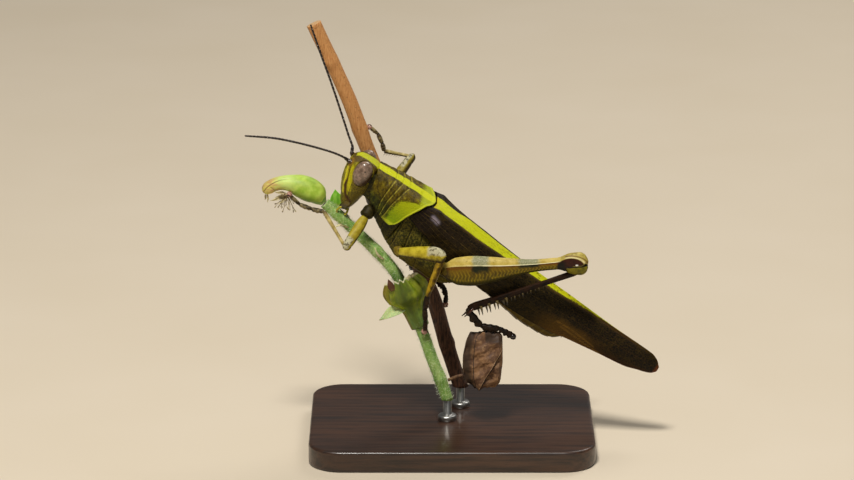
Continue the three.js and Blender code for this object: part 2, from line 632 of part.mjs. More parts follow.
const STICK = [[2.6, 7.5, 7], [-1.0, 7.5, 18.2], [-3.8, 7.5, 28.3], [-6.9, 7.5, 36], [-12.4, 7.5, 48.8],
  [-17.7, 7.5, 61.3], [-21.6, 7.5, 72.1], [-28.9, 7.5, 88.5]];
const STEM = [[-0.4, -1.5, 7], [-2.4, -1.5, 13.3], [-4.2, -1.5, 18], [-6.0, -1.5, 23.3], [-9.2, -1.5, 31.4],
  [-12, -1.5, 37.1], [-15.1, -1.5, 40.9], [-20.7, -1.5, 46.5], [-23.2, -1.5, 48.9], [-26.6, -1.5, 52.1]];
const STICK_RADII = [[0, STICK_RADIUS], [1, STICK_RADIUS - 0.08]];
const STEM_RADII = [[0, STEM_RADIUS], [1, STEM_RADIUS - 0.1]];
const belowCut = new THREE.BoxGeometry(60, 60, 20).translate(0, 0, CUT_HEIGHT - 10);
add(perch, 'perch_stick', cut(tube(STICK, STICK_RADII, 10, 9), belowCut), materials.stickBrown);
add(perch, 'perch_stem', cut(tube(STEM, STEM_RADII, 12, 8), belowCut), materials.stemGreen);

// The bud arches over and hangs its tip. [part of the way, radius]
const BUD_LINE = [[-27.2, -1.5, 52.6], [-28.6, -1.5, 54.3], [-31.3, -1.5, 55.7], [-34, -1.5, 56.5],
  [-36.2, -1.5, 56.4], [-38.2, -1.5, 55.5], [-39.4, -1.5, 54.5]];
const BUD_RADII = [[0, 0.9], [0.06, 1.6], [0.16, 2.3], [0.3, 2.5], [0.42, 2.35], [0.58, 1.65],
  [0.75, 1.35], [0.9, 1.25], [0.97, 0.95], [1, 0.6]];
add(perch, 'perch_bud', tube(BUD_LINE, BUD_RADII, 12, 12), materials.budGreen);

// The clasping leaf stands round the front of the stem like half a bowl.
const LEAF = { root: [-6.7, -1.5, 25.2], tip: [-10.9, -1.5, 36.2], thickness: 0.5 };
const LEAF_RADII = [[0, 1.75], [0.3, 2.0], [0.5, 2.9], [0.7, 4.0], [1, 4.4]];
// degrees to either side of its front
const LEAF_WRAP = [[0, 95], [0.35, 105], [0.55, 105], [0.8, 84], [1, 60]];

function claspingLeaf({ root, tip, thickness }) {
  const base = point(...root);
  const along = point(...tip).sub(base);
  const ahead = along.clone().normalize();
  const front = point(0, -1, 0).addScaledVector(ahead, ahead.y).normalize();
  const side = ahead.clone().cross(front).normalize();
  const rings = spread(0, 1, 8).map((t) => {
    const radius = smooth(LEAF_RADII, t);
    const wrap = smooth(LEAF_WRAP, t);
    const line = (r) => spread(-wrap, wrap, 7).map((degrees) =>
      base
        .clone()
        .addScaledVector(along, t)
        .addScaledVector(front, Math.cos(radians(degrees)) * r * 0.75)
        .addScaledVector(side, Math.sin(radians(degrees)) * r));
    return [...line(radius + thickness), ...line(radius).reverse()];
  });
  return loft(rings, 'fold');
}
add(perch, 'perch_leaf', claspingLeaf(LEAF), materials.budGreen);

const SMALL_LEAF = [[0, 0.5, 0.3], [0.3, 1.3, 0.35], [0.65, 1.3, 0.35], [1, 0.4, 0.3]];
add(perch, 'perch_leaf_small', limb([-23.9, 0.3, 50.9], [-24.5, 0.6, 54.3], [0, -1, 0], SMALL_LEAF),
  materials.budGreen);

// The withered leaf is folded into flat sides: [right, front] of each fold, and how wide its left
// and right parts and how deep it is, part of the way up.
const DRY_LINE = { root: [6.7, -4.2, 12.2], tip: [6.5, -4.2, 24.4] };
const DRY_FOLDS = [[4.1, 0.6], [3.4, 1.6], [-1.9, 1.9], [-4.0, -0.2], [-2.8, -1.5], [2.8, -1.6]];
const DRY_LEFT = [[0, 0.5], [0.1, 0.95], [0.25, 1.1], [0.5, 1.08], [0.8, 0.92], [0.95, 0.72], [1, 0.55]];
const DRY_RIGHT = [[0, 0.45], [0.08, 0.82], [0.3, 0.93], [0.5, 1], [0.93, 1], [1, 0.82]];
const DRY_DEEP = [[0, 0.5], [0.15, 0.95], [0.5, 1.05], [0.8, 1], [1, 0.6]];

function witheredLeaf({ root, tip }) {
  const base = point(...root);
  const along = point(...tip).sub(base);
  const rings = spread(0, 1, 9).map((t) => DRY_FOLDS.map(([right, front]) => {
    const wide = right * smooth(right < 0 ? DRY_LEFT : DRY_RIGHT, t);
    return base.clone().addScaledVector(along, t).add(point(wide, -front * smooth(DRY_DEEP, t), 0));
  }));
  return loft(rings);
}

const LEAF_STALK = [[4.4, -3.6, 15], [1.6, -2.6, 14.6], [-0.65, -1.9, 13.4]];
const LEAF_STALK_RADII = [[0, 0.35], [1, 0.35]];
add(perch, 'perch_dry_leaf',
  join(witheredLeaf(DRY_LINE), tube(LEAF_STALK, LEAF_STALK_RADII, 4, 5)),
  materials.dryLeaf);

// ---------------------------------------------------------------------------------------------
// Stand: a flat wooden base and a steel rod up to each cut end.

function roundedPlate({ length, width, height, corner, bevel }) {
  const [x, y, r] = [length / 2 - bevel, width / 2 - bevel, corner - bevel];
  const outline = new THREE.Shape();
  outline.moveTo(-x + r, -y);
  outline.absarc(x - r, -y + r, r, -Math.PI / 2, 0);
  outline.absarc(x - r, y - r, r, 0, Math.PI / 2);
  outline.absarc(-x + r, y - r, r, Math.PI / 2, Math.PI);
  outline.absarc(-x + r, -y + r, r, Math.PI, 1.5 * Math.PI);
  const plate = new THREE.ExtrudeGeometry(outline, {
    depth: height - 2 * bevel,
    bevelThickness: bevel,
    bevelSize: bevel,
    bevelSegments: 1,
    curveSegments: 3,
  });
  return plate.translate(0, 0, bevel);
}

function rod() {
  const top = CUT_HEIGHT - BASE.height;
  const outline = [[0, 0], [FOOT_RADIUS, 0], [FOOT_RADIUS, FOOT_HEIGHT - FOOT_CHAMFER],
    [FOOT_RADIUS - FOOT_CHAMFER, FOOT_HEIGHT], [ROD_RADIUS, FOOT_HEIGHT], [ROD_RADIUS, top], [0, top]];
  const places = outline.map(([r, z]) => new THREE.Vector2(r, z));
  return new THREE.LatheGeometry(places, 12).rotateX(Math.PI / 2);
}

add(stand, 'stand_base', roundedPlate(BASE), materials.baseWood);
for (const [name, x, y] of [['stem', -0.95, -1.5], ['stick', 1.95, 7.5]]) {
  const mesh = add(stand, `stand_rod_${name}`, rod(), materials.rodSteel);
  mesh.position.set(x, y, BASE.height);
}

const model = new THREE.Group();
model.add(insect, perch, stand);
export default model;
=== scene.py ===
import json
from math import radians

import bpy
import numpy as np
from mathutils import Matrix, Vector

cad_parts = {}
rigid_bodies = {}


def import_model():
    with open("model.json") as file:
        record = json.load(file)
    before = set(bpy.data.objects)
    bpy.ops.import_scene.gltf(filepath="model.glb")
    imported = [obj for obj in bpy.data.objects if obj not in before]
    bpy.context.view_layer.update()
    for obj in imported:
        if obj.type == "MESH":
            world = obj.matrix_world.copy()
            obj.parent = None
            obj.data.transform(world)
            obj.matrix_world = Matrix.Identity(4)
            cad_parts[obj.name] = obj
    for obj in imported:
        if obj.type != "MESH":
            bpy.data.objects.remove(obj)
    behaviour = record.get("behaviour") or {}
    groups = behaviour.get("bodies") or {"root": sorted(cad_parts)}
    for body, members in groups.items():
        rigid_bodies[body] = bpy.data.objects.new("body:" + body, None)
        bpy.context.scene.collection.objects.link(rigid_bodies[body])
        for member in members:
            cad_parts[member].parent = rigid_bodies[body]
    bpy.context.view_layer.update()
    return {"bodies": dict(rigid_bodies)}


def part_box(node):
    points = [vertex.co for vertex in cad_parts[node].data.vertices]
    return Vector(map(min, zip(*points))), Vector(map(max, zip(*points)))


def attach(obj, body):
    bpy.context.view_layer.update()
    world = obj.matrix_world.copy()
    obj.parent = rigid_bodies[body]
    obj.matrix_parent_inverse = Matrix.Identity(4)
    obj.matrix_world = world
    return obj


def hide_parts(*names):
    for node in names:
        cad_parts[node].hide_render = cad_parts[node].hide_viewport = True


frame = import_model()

# ---------------------------------------------------------------------------------------------
# Stand base. A flat board of close-grained hardwood, stained dark and varnished to a satin
# sheen. Its corners are rounded on a belt and its upper edge is eased with a small router bit.

MM = 0.001
BODY = frame["bodies"][0] if isinstance(frame["bodies"], list) else next(iter(frame["bodies"]))


def tone(code):
    """A colour written as 0xRRGGBB, as the shader wants it."""
    parts = [((code >> shift) & 255) / 255 for shift in (16, 8, 0)]
    linear = [p / 12.92 if p <= 0.04045 else ((p + 0.055) / 1.055) ** 2.4 for p in parts]
    return (*linear, 1.0)


class Finish:
    """A surface finish in the making. Each call adds one node and gives back its output."""

    def __init__(self, name):
        self.material = bpy.data.materials.new(name)
        self.material.use_nodes = True
        self.tree = self.material.node_tree
        self.shader = self.tree.nodes["Principled BSDF"]
        self.place = self.add("ShaderNodeTexCoord").outputs["Object"]

    def feed(self, socket, value):
        if isinstance(value, bpy.types.NodeSocket):
            self.tree.links.new(value, socket)
        else:
            socket.default_value = value

    def add(self, kind, inputs=(), **settings):
        node = self.tree.nodes.new(kind)
        for setting, value in settings.items():
            setattr(node, setting, value)
        for key, value in dict(inputs).items():
            self.feed(node.inputs[key], value)
        return node

    def field(self, name):
        """A number kept on the mesh."""
        return self.add("ShaderNodeAttribute", attribute_name=name).outputs["Fac"]

    def own(self, axis):
        """Millimetres along the piece's own back-to-front, side or up direction."""
        vector = self.add("ShaderNodeAttribute", attribute_name="own").outputs["Vector"]
        return self.add("ShaderNodeSeparateXYZ", {0: vector}).outputs[axis]

    def math(self, operation, *values):
        return self.add("ShaderNodeMath", enumerate(values), operation=operation).outputs[0]

    def plus(self, *values):
        return self.math("ADD", *values)

    def times(self, *values):
        return self.math("MULTIPLY", *values)

    def stretched(self, stretch, place=None, turned=(0, 0, 0)):
        inputs = {"Vector": place or self.place, "Scale": stretch, "Rotation": turned}
        return self.add("ShaderNodeMapping", inputs).outputs[0]

    def noise(self, per_mm, detail=3.0, roughness=0.55, place=None):
        inputs = {"Vector": place or self.place, "Scale": per_mm / MM, "Detail": detail}
        return self.add("ShaderNodeTexNoise", {**inputs, "Roughness": roughness}).outputs["Fac"]

    def cells(self, per_mm, feature="F1", place=None):
        inputs = {"Vector": place or self.place, "Scale": per_mm / MM}
        return self.add("ShaderNodeTexVoronoi", inputs, feature=feature).outputs["Distance"]

    def step(self, value, low, high, start=0.0, end=1.0):
        """Start where the value is low, end where it is high, and a soft change between."""
        inputs = {"Value": value, "From Min": low, "From Max": high, "To Min": start, "To Max": end}
        return self.add("ShaderNodeMapRange", inputs, interpolation_type="SMOOTHSTEP").outputs[0]

    def band(self, value, low, high, soft):
        """One between low and high, nothing outside them."""
        rise = self.step(value, low - soft, low + soft)
        fall = self.step(value, high - soft, high + soft, 1.0, 0.0)
        return self.times(rise, fall)

    def mix(self, share, *colours):
        """From a first colour to a second; a colour is a node's output or 0xRRGGBB."""
        first, second = (tone(colour) if isinstance(colour, int) else colour for colour in colours)
        return self.add("ShaderNodeMix", {0: share, 6: first, 7: second}, data_type="RGBA").outputs[2]

    def mottled(self, pattern, *colours):
        return self.mix(self.step(pattern, 0.35, 0.65), *colours)

    def lay(self, colour, share):
        """Lays a colour over what is there, as much as the share says."""
        self.colour = self.mix(share, self.colour, colour)

    def fade(self, colour, value, low, high, start=0.0, end=1.0):
        """Lays a colour over what is there, more of it as the value goes from low to high."""
        self.lay(colour, self.step(value, low, high, start, end))

    def bump(self, height, depth, under=None):
        """Relief of some millimetres' depth, on top of any other relief."""
        inputs = {"Height": height, "Distance": depth * MM, "Strength": 1.0}
        node = self.add("ShaderNodeBump", inputs)
        if under:
            self.feed(node.inputs["Normal"], under)
        return node.outputs[0]

    def done(self, roughness, relief=None, **even):
        """Joins the finish up; the values that are the same all over go on the shader itself.

        A roughness of (pattern, least, most) follows that pattern.
        """
        if isinstance(roughness, tuple):
            pattern, least, most = roughness
            roughness = self.step(pattern, 0.3, 0.7, least, most)
        self.feed(self.shader.inputs["Base Color"], self.colour)
        self.feed(self.shader.inputs["Roughness"], roughness)
        if relief:
            self.feed(self.shader.inputs["Normal"], relief)
        for name, value in even.items():
            self.shader.inputs[name.replace("_", " ")].default_value = value
        return self.material


def smooth(knots, x):
    """The value at x of a smooth curve through a few (x, value) knots, with no overshoot.

    A knot's value may be an array, and then each of its places has a curve of its own.
    """
    at = np.array([place for place, _ in knots], float)
    *value, x = np.broadcast_arrays(*[np.asarray(v, float) for _, v in knots], np.asarray(x, float))
    value, x = np.stack(value), np.clip(x, at[0], at[-1])
    slope = np.diff(value, axis=0) / np.diff(at).reshape(-1, *[1] * x.ndim)
    product, total = slope[:-1] * slope[1:], slope[:-1] + slope[1:]
    rising = product > 0
    inner = np.where(rising, 2 * product / np.where(rising, total, 1), 0)
    tangent = np.concatenate([slope[:1], inner, slope[-1:]])
    i = np.clip(np.searchsorted(at, x, side="right") - 1, 0, len(at) - 2)
    width = at[i + 1] - at[i]
    t = (x - at[i]) / width
    low, high = (np.take_along_axis(value, k[None], 0)[0] for k in (i, i + 1))
    leave, arrive = (np.take_along_axis(tangent, k[None], 0)[0] * width for k in (i, i + 1))
    start = (2 * t**3 - 3 * t**2 + 1) * low + (t**3 - 2 * t**2 + t) * leave
    return start + (3 * t**2 - 2 * t**3) * high + (t**3 - t**2) * arrive


def spread(values, count):
    """A field for each of a skin's points.

    It comes as one number, as a column that is the same all round, as the skin's own grid, or
    as one side of a sheet's, which the other side repeats.
    """
    values = np.asarray(values, float)
    if values.ndim == 0:
        return np.full(count, float(values))
    if values.ndim == 2 and values.shape[1] == 1:
        values = np.tile(values, (count - 2) // len(values))
    if values.size == count - 2:
        return np.append(values, [values[0].mean(), values[-1].mean()])
    if 2 * values.size == count:
        return np.hstack([values, values[:, ::-1]]).ravel()
    return values


def keep_fields(mesh, fields):
    """Keeps numbers, or places, on the points of a mesh."""
    for field, values in fields.items():
        values = spread(values, len(mesh.vertices)).astype(np.float32)
        kind, key = ("FLOAT_VECTOR", "vector") if values.shape[-1] == 3 else ("FLOAT", "value")
        mesh.attributes.new(field, kind, "POINT").data.foreach_set(key, values.ravel())


def piece(name, points, faces, material, fields=None, slot=None, replaces=()):
    """A smooth mesh piece of the model, facing outwards, with its place in its mesh."""
    corners = [(face[0], face[k], face[k + 1]) for face in faces for k in range(1, len(face) - 1)]
    a, b, c = (points[np.array(corners)[:, k]] for k in range(3))
    if np.einsum("ij,ij->", a, np.cross(b, c)) < 0:
        faces = [face[::-1] for face in faces]
    mesh = bpy.data.meshes.new(name)
    mesh.from_pydata((points * MM).tolist(), [], [list(map(int, face)) for face in faces])
    keep_fields(mesh, fields or {})
    mesh.shade_smooth()
    mesh.materials.append(material)
    obj = bpy.data.objects.new(name, mesh)
    bpy.context.scene.collection.objects.link(obj)
    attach(obj, BODY)
    if replaces:
        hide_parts(*replaces)
    return obj


def circle(count):
    """Evenly spaced angles of one full turn."""
    return np.linspace(0, 2 * np.pi, count, endpoint=False)


def skin(grid, ends="fan"):
    """Points and faces through the rings of a (rows, points, 3) grid, closed at both ends.

    The ends close on their middles ('fan') or, for a ring that is an outer line and an inner
    line back, straight across ('fold').
    """
    rows, count = grid.shape[:2]
    points = grid.reshape(-1, 3)
    here = np.arange(count)
    after = (here + 1) % count
    faces = []
    for row in range(rows - 1):
        low, high = row * count, (row + 1) * count
        faces += np.stack([low + here, low + after, high + after, high + here], 1).tolist()
    last = (rows - 1) * count
    if ends == "fan":
        points = np.vstack([points, grid[0].mean(0), grid[-1].mean(0)])
        faces += [[b, a, len(points) - 2] for a, b in zip(here, after)]
        faces += [[last + a, last + b, len(points) - 1] for a, b in zip(here, after)]
    else:
        for k in range(count // 2 - 1):
            faces.append([count - 1 - k, count - 2 - k, k + 1, k])
            faces.append([last + k, last + k + 1, last + count - 2 - k, last + count - 1 - k])
    return points, faces


def stained_wood():
    wood = Finish("stained_wood")
    drift = wood.noise(0.05, 2.0, place=wood.stretched((0.3, 1.0, 1.0)))
    rings = wood.noise(0.9, 4.0, 0.6, wood.stretched((0.06, 1.0, 1.0)))
    pores = wood.noise(6.0, 2.0, 0.5, wood.stretched((0.05, 1.0, 1.0)))
    wood.colour = wood.mix(wood.step(drift, 0.3, 0.7), 0x3A2417, 0x4A2E1C)
    wood.fade(0x21130B, rings, 0.4, 0.68)
    wood.fade(0x140B07, pores, 0.62, 0.74)
    gloss = wood.step(rings, 0.3, 0.7, 0.34, 0.46)
    relief = wood.bump(wood.plus(rings, pores), -0.02)
    return wood.done(gloss, relief, Coat_Weight=0.35, Coat_Roughness=0.18)


BASE_CORNER = 7.0
BASE_EDGE = 0.6

base_low, base_high = (np.array(corner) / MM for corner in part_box("stand_base"))
arc = np.linspace(0, np.pi / 2, 13)


def plate_outline(inset):
    """The board's outline, set in from its edge."""
    half = (base_high - base_low)[:2] / 2 - BASE_CORNER
    corners = [(1, 1, 0), (-1, 1, np.pi / 2), (-1, -1, np.pi), (1, -1, 1.5 * np.pi)]
    radius = BASE_CORNER - inset
    return np.array([(sx * half[0] + radius * np.cos(turn + a), sy * half[1] + radius * np.sin(turn + a))
                     for sx, sy, turn in corners for a in arc])


ease = [(BASE_EDGE * (1 - np.sin(a)), BASE_EDGE * (1 - np.cos(a))) for a in np.linspace(0, np.pi / 2, 6)]
levels = [(inset, base_low[2] + drop) for inset, drop in ease] + [
    (inset, base_high[2] - drop) for inset, drop in reversed(ease)]
levels = [(BASE_EDGE + 0.4, base_low[2])] + levels + [(BASE_EDGE + 0.4, base_high[2])]
board = np.array([np.column_stack([plate_outline(inset), np.full(4 * len(arc), z)]) for inset, z in levels])
piece("stand_board", *skin(board), stained_wood(), slot="stand_wood", replaces=["stand_base"])

# ---------------------------------------------------------------------------------------------
# Stand rods. Each is a short turned steel rod with a chamfered collar that seats it on the
# board, ground bright and then brushed lengthways.


def brushed_steel():
    steel = Finish("brushed_steel")
    brushing = steel.noise(14.0, 3.0, 0.6, steel.stretched((1.0, 1.0, 0.05)))
    steel.colour = steel.mix(steel.step(brushing, 0.3, 0.7), 0x8F8F8C, 0xB9B9B5)
    gloss = steel.step(brushing, 0.3, 0.7, 0.26, 0.42)
    return steel.done(gloss, steel.bump(brushing, 0.01), Metallic=1.0)


COLLAR_TURNING = [(0, 0), (1.9, 0), (2, 0.08), (2, 0.85), (1.97, 0.93), (1.72, 1.18), (1.64, 1.2),
                  (0.98, 1.2), (0.9, 1.28)]
ROD_CHAMFER = 0.12

steel_finish = brushed_steel()
for rod_name in ("stand_rod_stem", "stand_rod_stick"):
    low, high = (np.array(corner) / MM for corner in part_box(rod_name))
    height = high[2] - low[2]
    turning = COLLAR_TURNING + [(0.9, height - ROD_CHAMFER), (0.9 - ROD_CHAMFER, height), (0.3, height)]
    turn = circle(40)
    middle = (low + high)[:2] / 2
    rings = np.array([np.column_stack([middle[0] + r * np.cos(turn), middle[1] + r * np.sin(turn),
                                       np.full(40, low[2] + z)]) for r, z in turning[1:]])
    piece(f"{rod_name}_turned", *skin(rings), steel_finish, slot="stand_steel", replaces=[rod_name])

# ---------------------------------------------------------------------------------------------
# Dry stick. A dead, barkless shoot, sawn level at the foot and across at the top. Its wood is
# ribbed lengthwise, swells a little at the old buds, and goes from dark brown low down to pale
# orange towards the top; the dark brown is partly the wood's own colour and partly painted shade
# from the insect beside it.

SAW_LEVEL = 9.0


def way(places, count):
    """Evenly spaced points on a smooth line through a few places."""
    p = np.array(places, float)
    p = np.vstack([2 * p[0] - p[1], p, 2 * p[-1] - p[-2]])
    gap = np.linalg.norm(np.diff(p, axis=0), axis=1)[:, None] ** 0.5
    slope = (p[1:-1] - p[:-2]) / gap[:-1] - (p[2:] - p[:-2]) / (gap[:-1] + gap[1:])
    slope += (p[2:] - p[1:-1]) / gap[1:]
    t = np.linspace(0, 1, 60, endpoint=False)[None, :, None]
    reach = gap[1:-1, None]
    line = (2 * t**3 - 3 * t**2 + 1) * p[1:-2, None] + (t**3 - 2 * t**2 + t) * slope[:-1, None] * reach
    line = line + (3 * t**2 - 2 * t**3) * p[2:-1, None] + (t**3 - t**2) * slope[1:, None] * reach
    line = np.vstack([line.reshape(-1, 3), p[-2]])
    length = np.concatenate([[0], np.cumsum(np.linalg.norm(np.diff(line, axis=0), axis=1))])
    even = np.linspace(0, length[-1], count)
    return np.column_stack([np.interp(even, length, line[:, k]) for k in range(3)])


def unit(vectors):
    return vectors / np.linalg.norm(vectors, axis=-1, keepdims=True)


def directions(line, up):
    """Which way is ahead, to the side and up at each point of a line."""
    ahead = unit(np.gradient(line, axis=0))
    side = unit(np.cross(ahead, np.asarray(up, float)))
    return ahead, side, np.cross(side, ahead)


def ringed(line, up, wide, tall=None, around=24):
    """Rings round a line; the half width and height may change along it and round it."""
    ahead, side, lift = directions(line, up)
    turn = circle(around)
    shape = (len(line), around)
    wide = np.broadcast_to(np.asarray(wide, float), shape)[..., None]
    tall = wide if tall is None else np.broadcast_to(np.asarray(tall, float), shape)[..., None]
    across, upward = np.cos(turn)[None, :, None], np.sin(turn)[None, :, None]
    return line[:, None] + side[:, None] * across * wide + lift[:, None] * upward * tall


def sawn(grid, height):
    """The rings that clear a level cut, and one that lies on it."""
    kept = grid[grid[:, :, 2].min(1) > height + 0.05]
    down = kept[0] - kept[1]
    on_cut = kept[0] + down * (height - kept[0][:, 2:]) / down[:, 2:]
    return np.vstack([on_cut[None], kept])


def end_faces(grid, shares=(0.94, 0.5)):
    """Adds smaller rings inside the first and last ring, so that the cut ends can differ."""
    first, last = grid[0], grid[-1]
    inward = [first.mean(0) + (first - first.mean(0)) * share for share in reversed(shares)]
    outward = [last.mean(0) + (last - last.mean(0)) * share for share in shares]
    return np.vstack([np.array(inward), grid, np.array(outward)])


def end_field(grid, rings=2):
    field = np.zeros(grid.shape[:2])
    field[:rings] = 1
    field[-rings:] = 1
    return field


def ridge(distance, width):
    """One on a line and falling to nothing a width away."""
    return np.exp(-((distance / width) ** 2))


def bleached_and_shaded_wood():
    wood = Finish("bleached_and_shaded_wood")
    height = wood.math("DIVIDE", wood.add("ShaderNodeSeparateXYZ", {0: wood.place}).outputs[2], MM)
    grain_place = wood.stretched((1.0, 1.0, 0.08))
    fibres = wood.noise(5.0, 4.0, 0.6, grain_place)
    patches = wood.noise(0.25, 3.0)
    specks = wood.noise(2.2, 2.0, 0.6)
    # Dark brown low down and pale orange towards the top: partly the wood's own colour, partly painted shade
    # where the insect shades the stick.
    wood.colour = wood.mottled(fibres, 0x2C1A12, 0x6A4632)
    high = wood.mix(wood.step(fibres, 0.25, 0.7), 0xA66C38, 0xC8935A)
    drift = wood.plus(height, wood.times(patches, 14.0))
    wood.fade(high, drift, 50.0, 66.0)
    wood.fade(0x4A2A1A, specks, 0.6, 0.72, 0.0, 0.65)
    ends = wood.mix(wood.step(fibres, 0.3, 0.7), 0xB58A5C, 0xD2AE7E)
    wood.lay(ends, wood.field("end"))
    relief = wood.bump(specks, 0.04, wood.bump(fibres, 0.07))
    return wood.done((patches, 0.55, 0.78), relief, Specular_IOR_Level=0.35)


STICK = [(2.6, 7.5, 7), (-1.0, 7.5, 18.2), (-3.8, 7.5, 28.3), (-6.9, 7.5, 36), (-12.4, 7.5, 48.8),
         (-17.7, 7.5, 61.3), (-21.6, 7.5, 72.1), (-28.9, 7.5, 88.5)]
STICK_RADIUS = 1.6
OLD_BUDS = [(0.14, 0.9), (0.33, 3.6), (0.53, 1.4), (0.72, 4.4), (0.9, 2.2)]   # [way along, turn]
FRONT = (0, -1, 0)

along = np.linspace(0, 1, 260)[:, None]
turn = circle(48)[None]
stick_radius = STICK_RADIUS - 0.08 * along + 0.035 * np.sin(9 * turn + 3 * np.sin(5 * along))
stick_radius = stick_radius + 0.025 * np.sin(17 * turn - 4 * along) - 0.03 * np.sin(23 * along)
for at, facing in OLD_BUDS:
    knob = ridge(along - at, 0.012) * np.exp(-((1 - np.cos(turn - facing)) / 0.5))
    stick_radius = stick_radius + 0.35 * knob + 0.07 * ridge(along - at, 0.02)
stick = end_faces(sawn(ringed(way(STICK, 260), FRONT, stick_radius, around=48), SAW_LEVEL))
piece("dry_stick", *skin(stick), bleached_and_shaded_wood(), {"end": end_field(stick)},
      slot="dry_wood", replaces=["perch_stick"])

# ---------------------------------------------------------------------------------------------
# Green stem. A soft young shoot, ribbed lengthwise and set all over with short white hairs. It
# is sawn level at the foot and carries the bud at its top.


def young_skin():
    green = Finish("young_skin")
    speckle = green.noise(2.4, 3.0, 0.65)
    mottle = green.noise(0.35, 2.0)
    ribs = green.noise(1.6, 2.0, 0.5, green.stretched((1.0, 1.0, 0.1)))
    green.colour = green.mottled(mottle, 0x68903E, 0x8DB05A)
    green.fade(0xACC67C, ribs, 0.5, 0.66, 0.0, 0.6)
    green.fade(0xC6D69C, speckle, 0.54, 0.66, 0.0, 0.75)
    pith = green.mix(speckle, 0xC5CF8E, 0xE2E6BC)
    green.lay(pith, green.field("end"))
    relief = green.bump(speckle, 0.06, green.bump(ribs, 0.1))
    return green.done((speckle, 0.5, 0.68), relief,
                      Subsurface_Weight=0.1, Subsurface_Scale=0.0008, Specular_IOR_Level=0.3)


STEM = [(-0.4, -1.5, 7), (-2.4, -1.5, 13.3), (-4.2, -1.5, 18), (-6.0, -1.5, 23.3), (-9.2, -1.5, 31.4),
        (-12, -1.5, 37.1), (-15.1, -1.5, 40.9), (-20.7, -1.5, 46.5), (-23.2, -1.5, 48.9), (-26.6, -1.5, 52.1)]
STEM_RADIUS = 1.25
STEM_JOINTS = [0.13, 0.47, 0.72, 0.93]     # where leaves grew, as parts of its length

along = np.linspace(0, 1, 190)[:, None]
turn = circle(40)[None]
stem_radius = STEM_RADIUS - 0.1 * along + 0.05 * np.cos(5 * turn + 1.5 * along) + 0.015 * np.sin(11 * turn)
for at in STEM_JOINTS:
    stem_radius = stem_radius + 0.12 * ridge(along - at, 0.02)
stem_rings = ringed(way(STEM, 190), FRONT, stem_radius, around=40)
stem = end_faces(sawn(stem_rings, SAW_LEVEL))
stem_finish = young_skin()
piece("green_shoot", *skin(stem), stem_finish, {"end": end_field(stem)},
      slot="green_stem", replaces=["perch_stem"])


class Recipe:
    """A Geometry Nodes tree in the making, with named inputs and one named output."""

    def __init__(self, name, made, **wanted):
        self.tree = bpy.data.node_groups.new(name, "GeometryNodeTree")
        for label, kind in wanted.items():
            self.tree.interface.new_socket(label, in_out="INPUT", socket_type=f"NodeSocket{kind}")
        self.tree.interface.new_socket(made, in_out="OUTPUT", socket_type="NodeSocketGeometry")
        self.given = self.tree.nodes.new("NodeGroupInput").outputs
        self.result = self.tree.nodes.new("NodeGroupOutput").inputs

    def add(self, kind, inputs=(), out=0, **settings):
        """Adds a node and gives back one of its outputs."""
        node = self.tree.nodes.new(kind if kind.startswith("Function") else f"GeometryNode{kind}")
        for setting, value in settings.items():
            setattr(node, setting, value)
        for key, value in dict(inputs).items():
            if isinstance(value, bpy.types.NodeSocket):
                self.tree.links.new(value, node.inputs[key])
            else:
                node.inputs[key].default_value = value
        return node.outputs[out]

    def done(self, shapes):
        """Makes the shapes real and gives them their finish."""
        dressed = self.add("SetMaterial", {0: self.add("RealizeInstances", {0: shapes}),
                                           "Material": self.given["Finish"]})
        self.tree.links.new(dressed, self.result[0])
        return self.tree


def planting_tree():
    """Stands a small shape on every point, turned along the point's aim."""
    new = Recipe("planting", "Planted", Points="Geometry", Shape="Object", Finish="Material", Twist="Float",
                 Seed="Int")
    aim, size = (new.add("InputNamedAttribute", {"Name": name}, data_type="FLOAT_VECTOR")
                 for name in ("aim", "size"))
    upright = new.add("FunctionNodeAlignRotationToVector", {"Vector": aim}, axis="Z")
    chance = {3: new.given["Twist"], "Seed": new.given["Seed"]}
    twist = new.add("FunctionNodeRandomValue", chance, 1, data_type="FLOAT")
    spin = new.add("FunctionNodeAxisAngleToRotation", {"Axis": (0, 0, 1), "Angle": twist})
    turned = new.add("FunctionNodeRotateRotation", {0: upright, 1: spin}, rotation_space="LOCAL")
    shape = new.add("ObjectInfo", {"Object": new.given["Shape"]}, "Geometry")
    stood = {"Points": new.given["Points"], "Instance": shape, "Rotation": turned, "Scale": size}
    return new.done(new.add("InstanceOnPoints", stood))


def grown(name, mesh, tree, inputs):
    """The plain mesh that a tree makes of a mesh, as an object of its own."""
    seed_object = bpy.data.objects.new(f"{name}_points", mesh)
    bpy.context.scene.collection.objects.link(seed_object)
    modifier = seed_object.modifiers.new("tree", "NODES")
    modifier.node_group = tree
    for label, value in inputs.items():
        modifier[tree.interface.items_tree[label].identifier] = value
    evaluated = seed_object.evaluated_get(bpy.context.evaluated_depsgraph_get())
    plain = bpy.data.meshes.new_from_object(evaluated)
    seed_object.modifiers.remove(modifier)
    bpy.data.objects.remove(seed_object)
    obj = bpy.data.objects.new(name, plain)
    bpy.context.scene.collection.objects.link(obj)
    return obj


def small_shape(name, turning, sides, bend=0.0):
    """A shape to plant: rings of [height, half width, half depth] one unit tall, maybe bent."""
    turn = circle(sides)
    rings = np.array([np.column_stack([wide * np.cos(turn) + bend * z * z, deep * np.sin(turn),
                                       np.full(sides, z)]) for z, wide, deep in turning])
    points, faces = skin(rings)
    mesh = bpy.data.meshes.new(name)
    mesh.from_pydata(points.tolist(), [], [list(map(int, face)) for face in faces])
    mesh.shade_smooth()
    return bpy.data.objects.new(name, mesh)


planting = planting_tree()


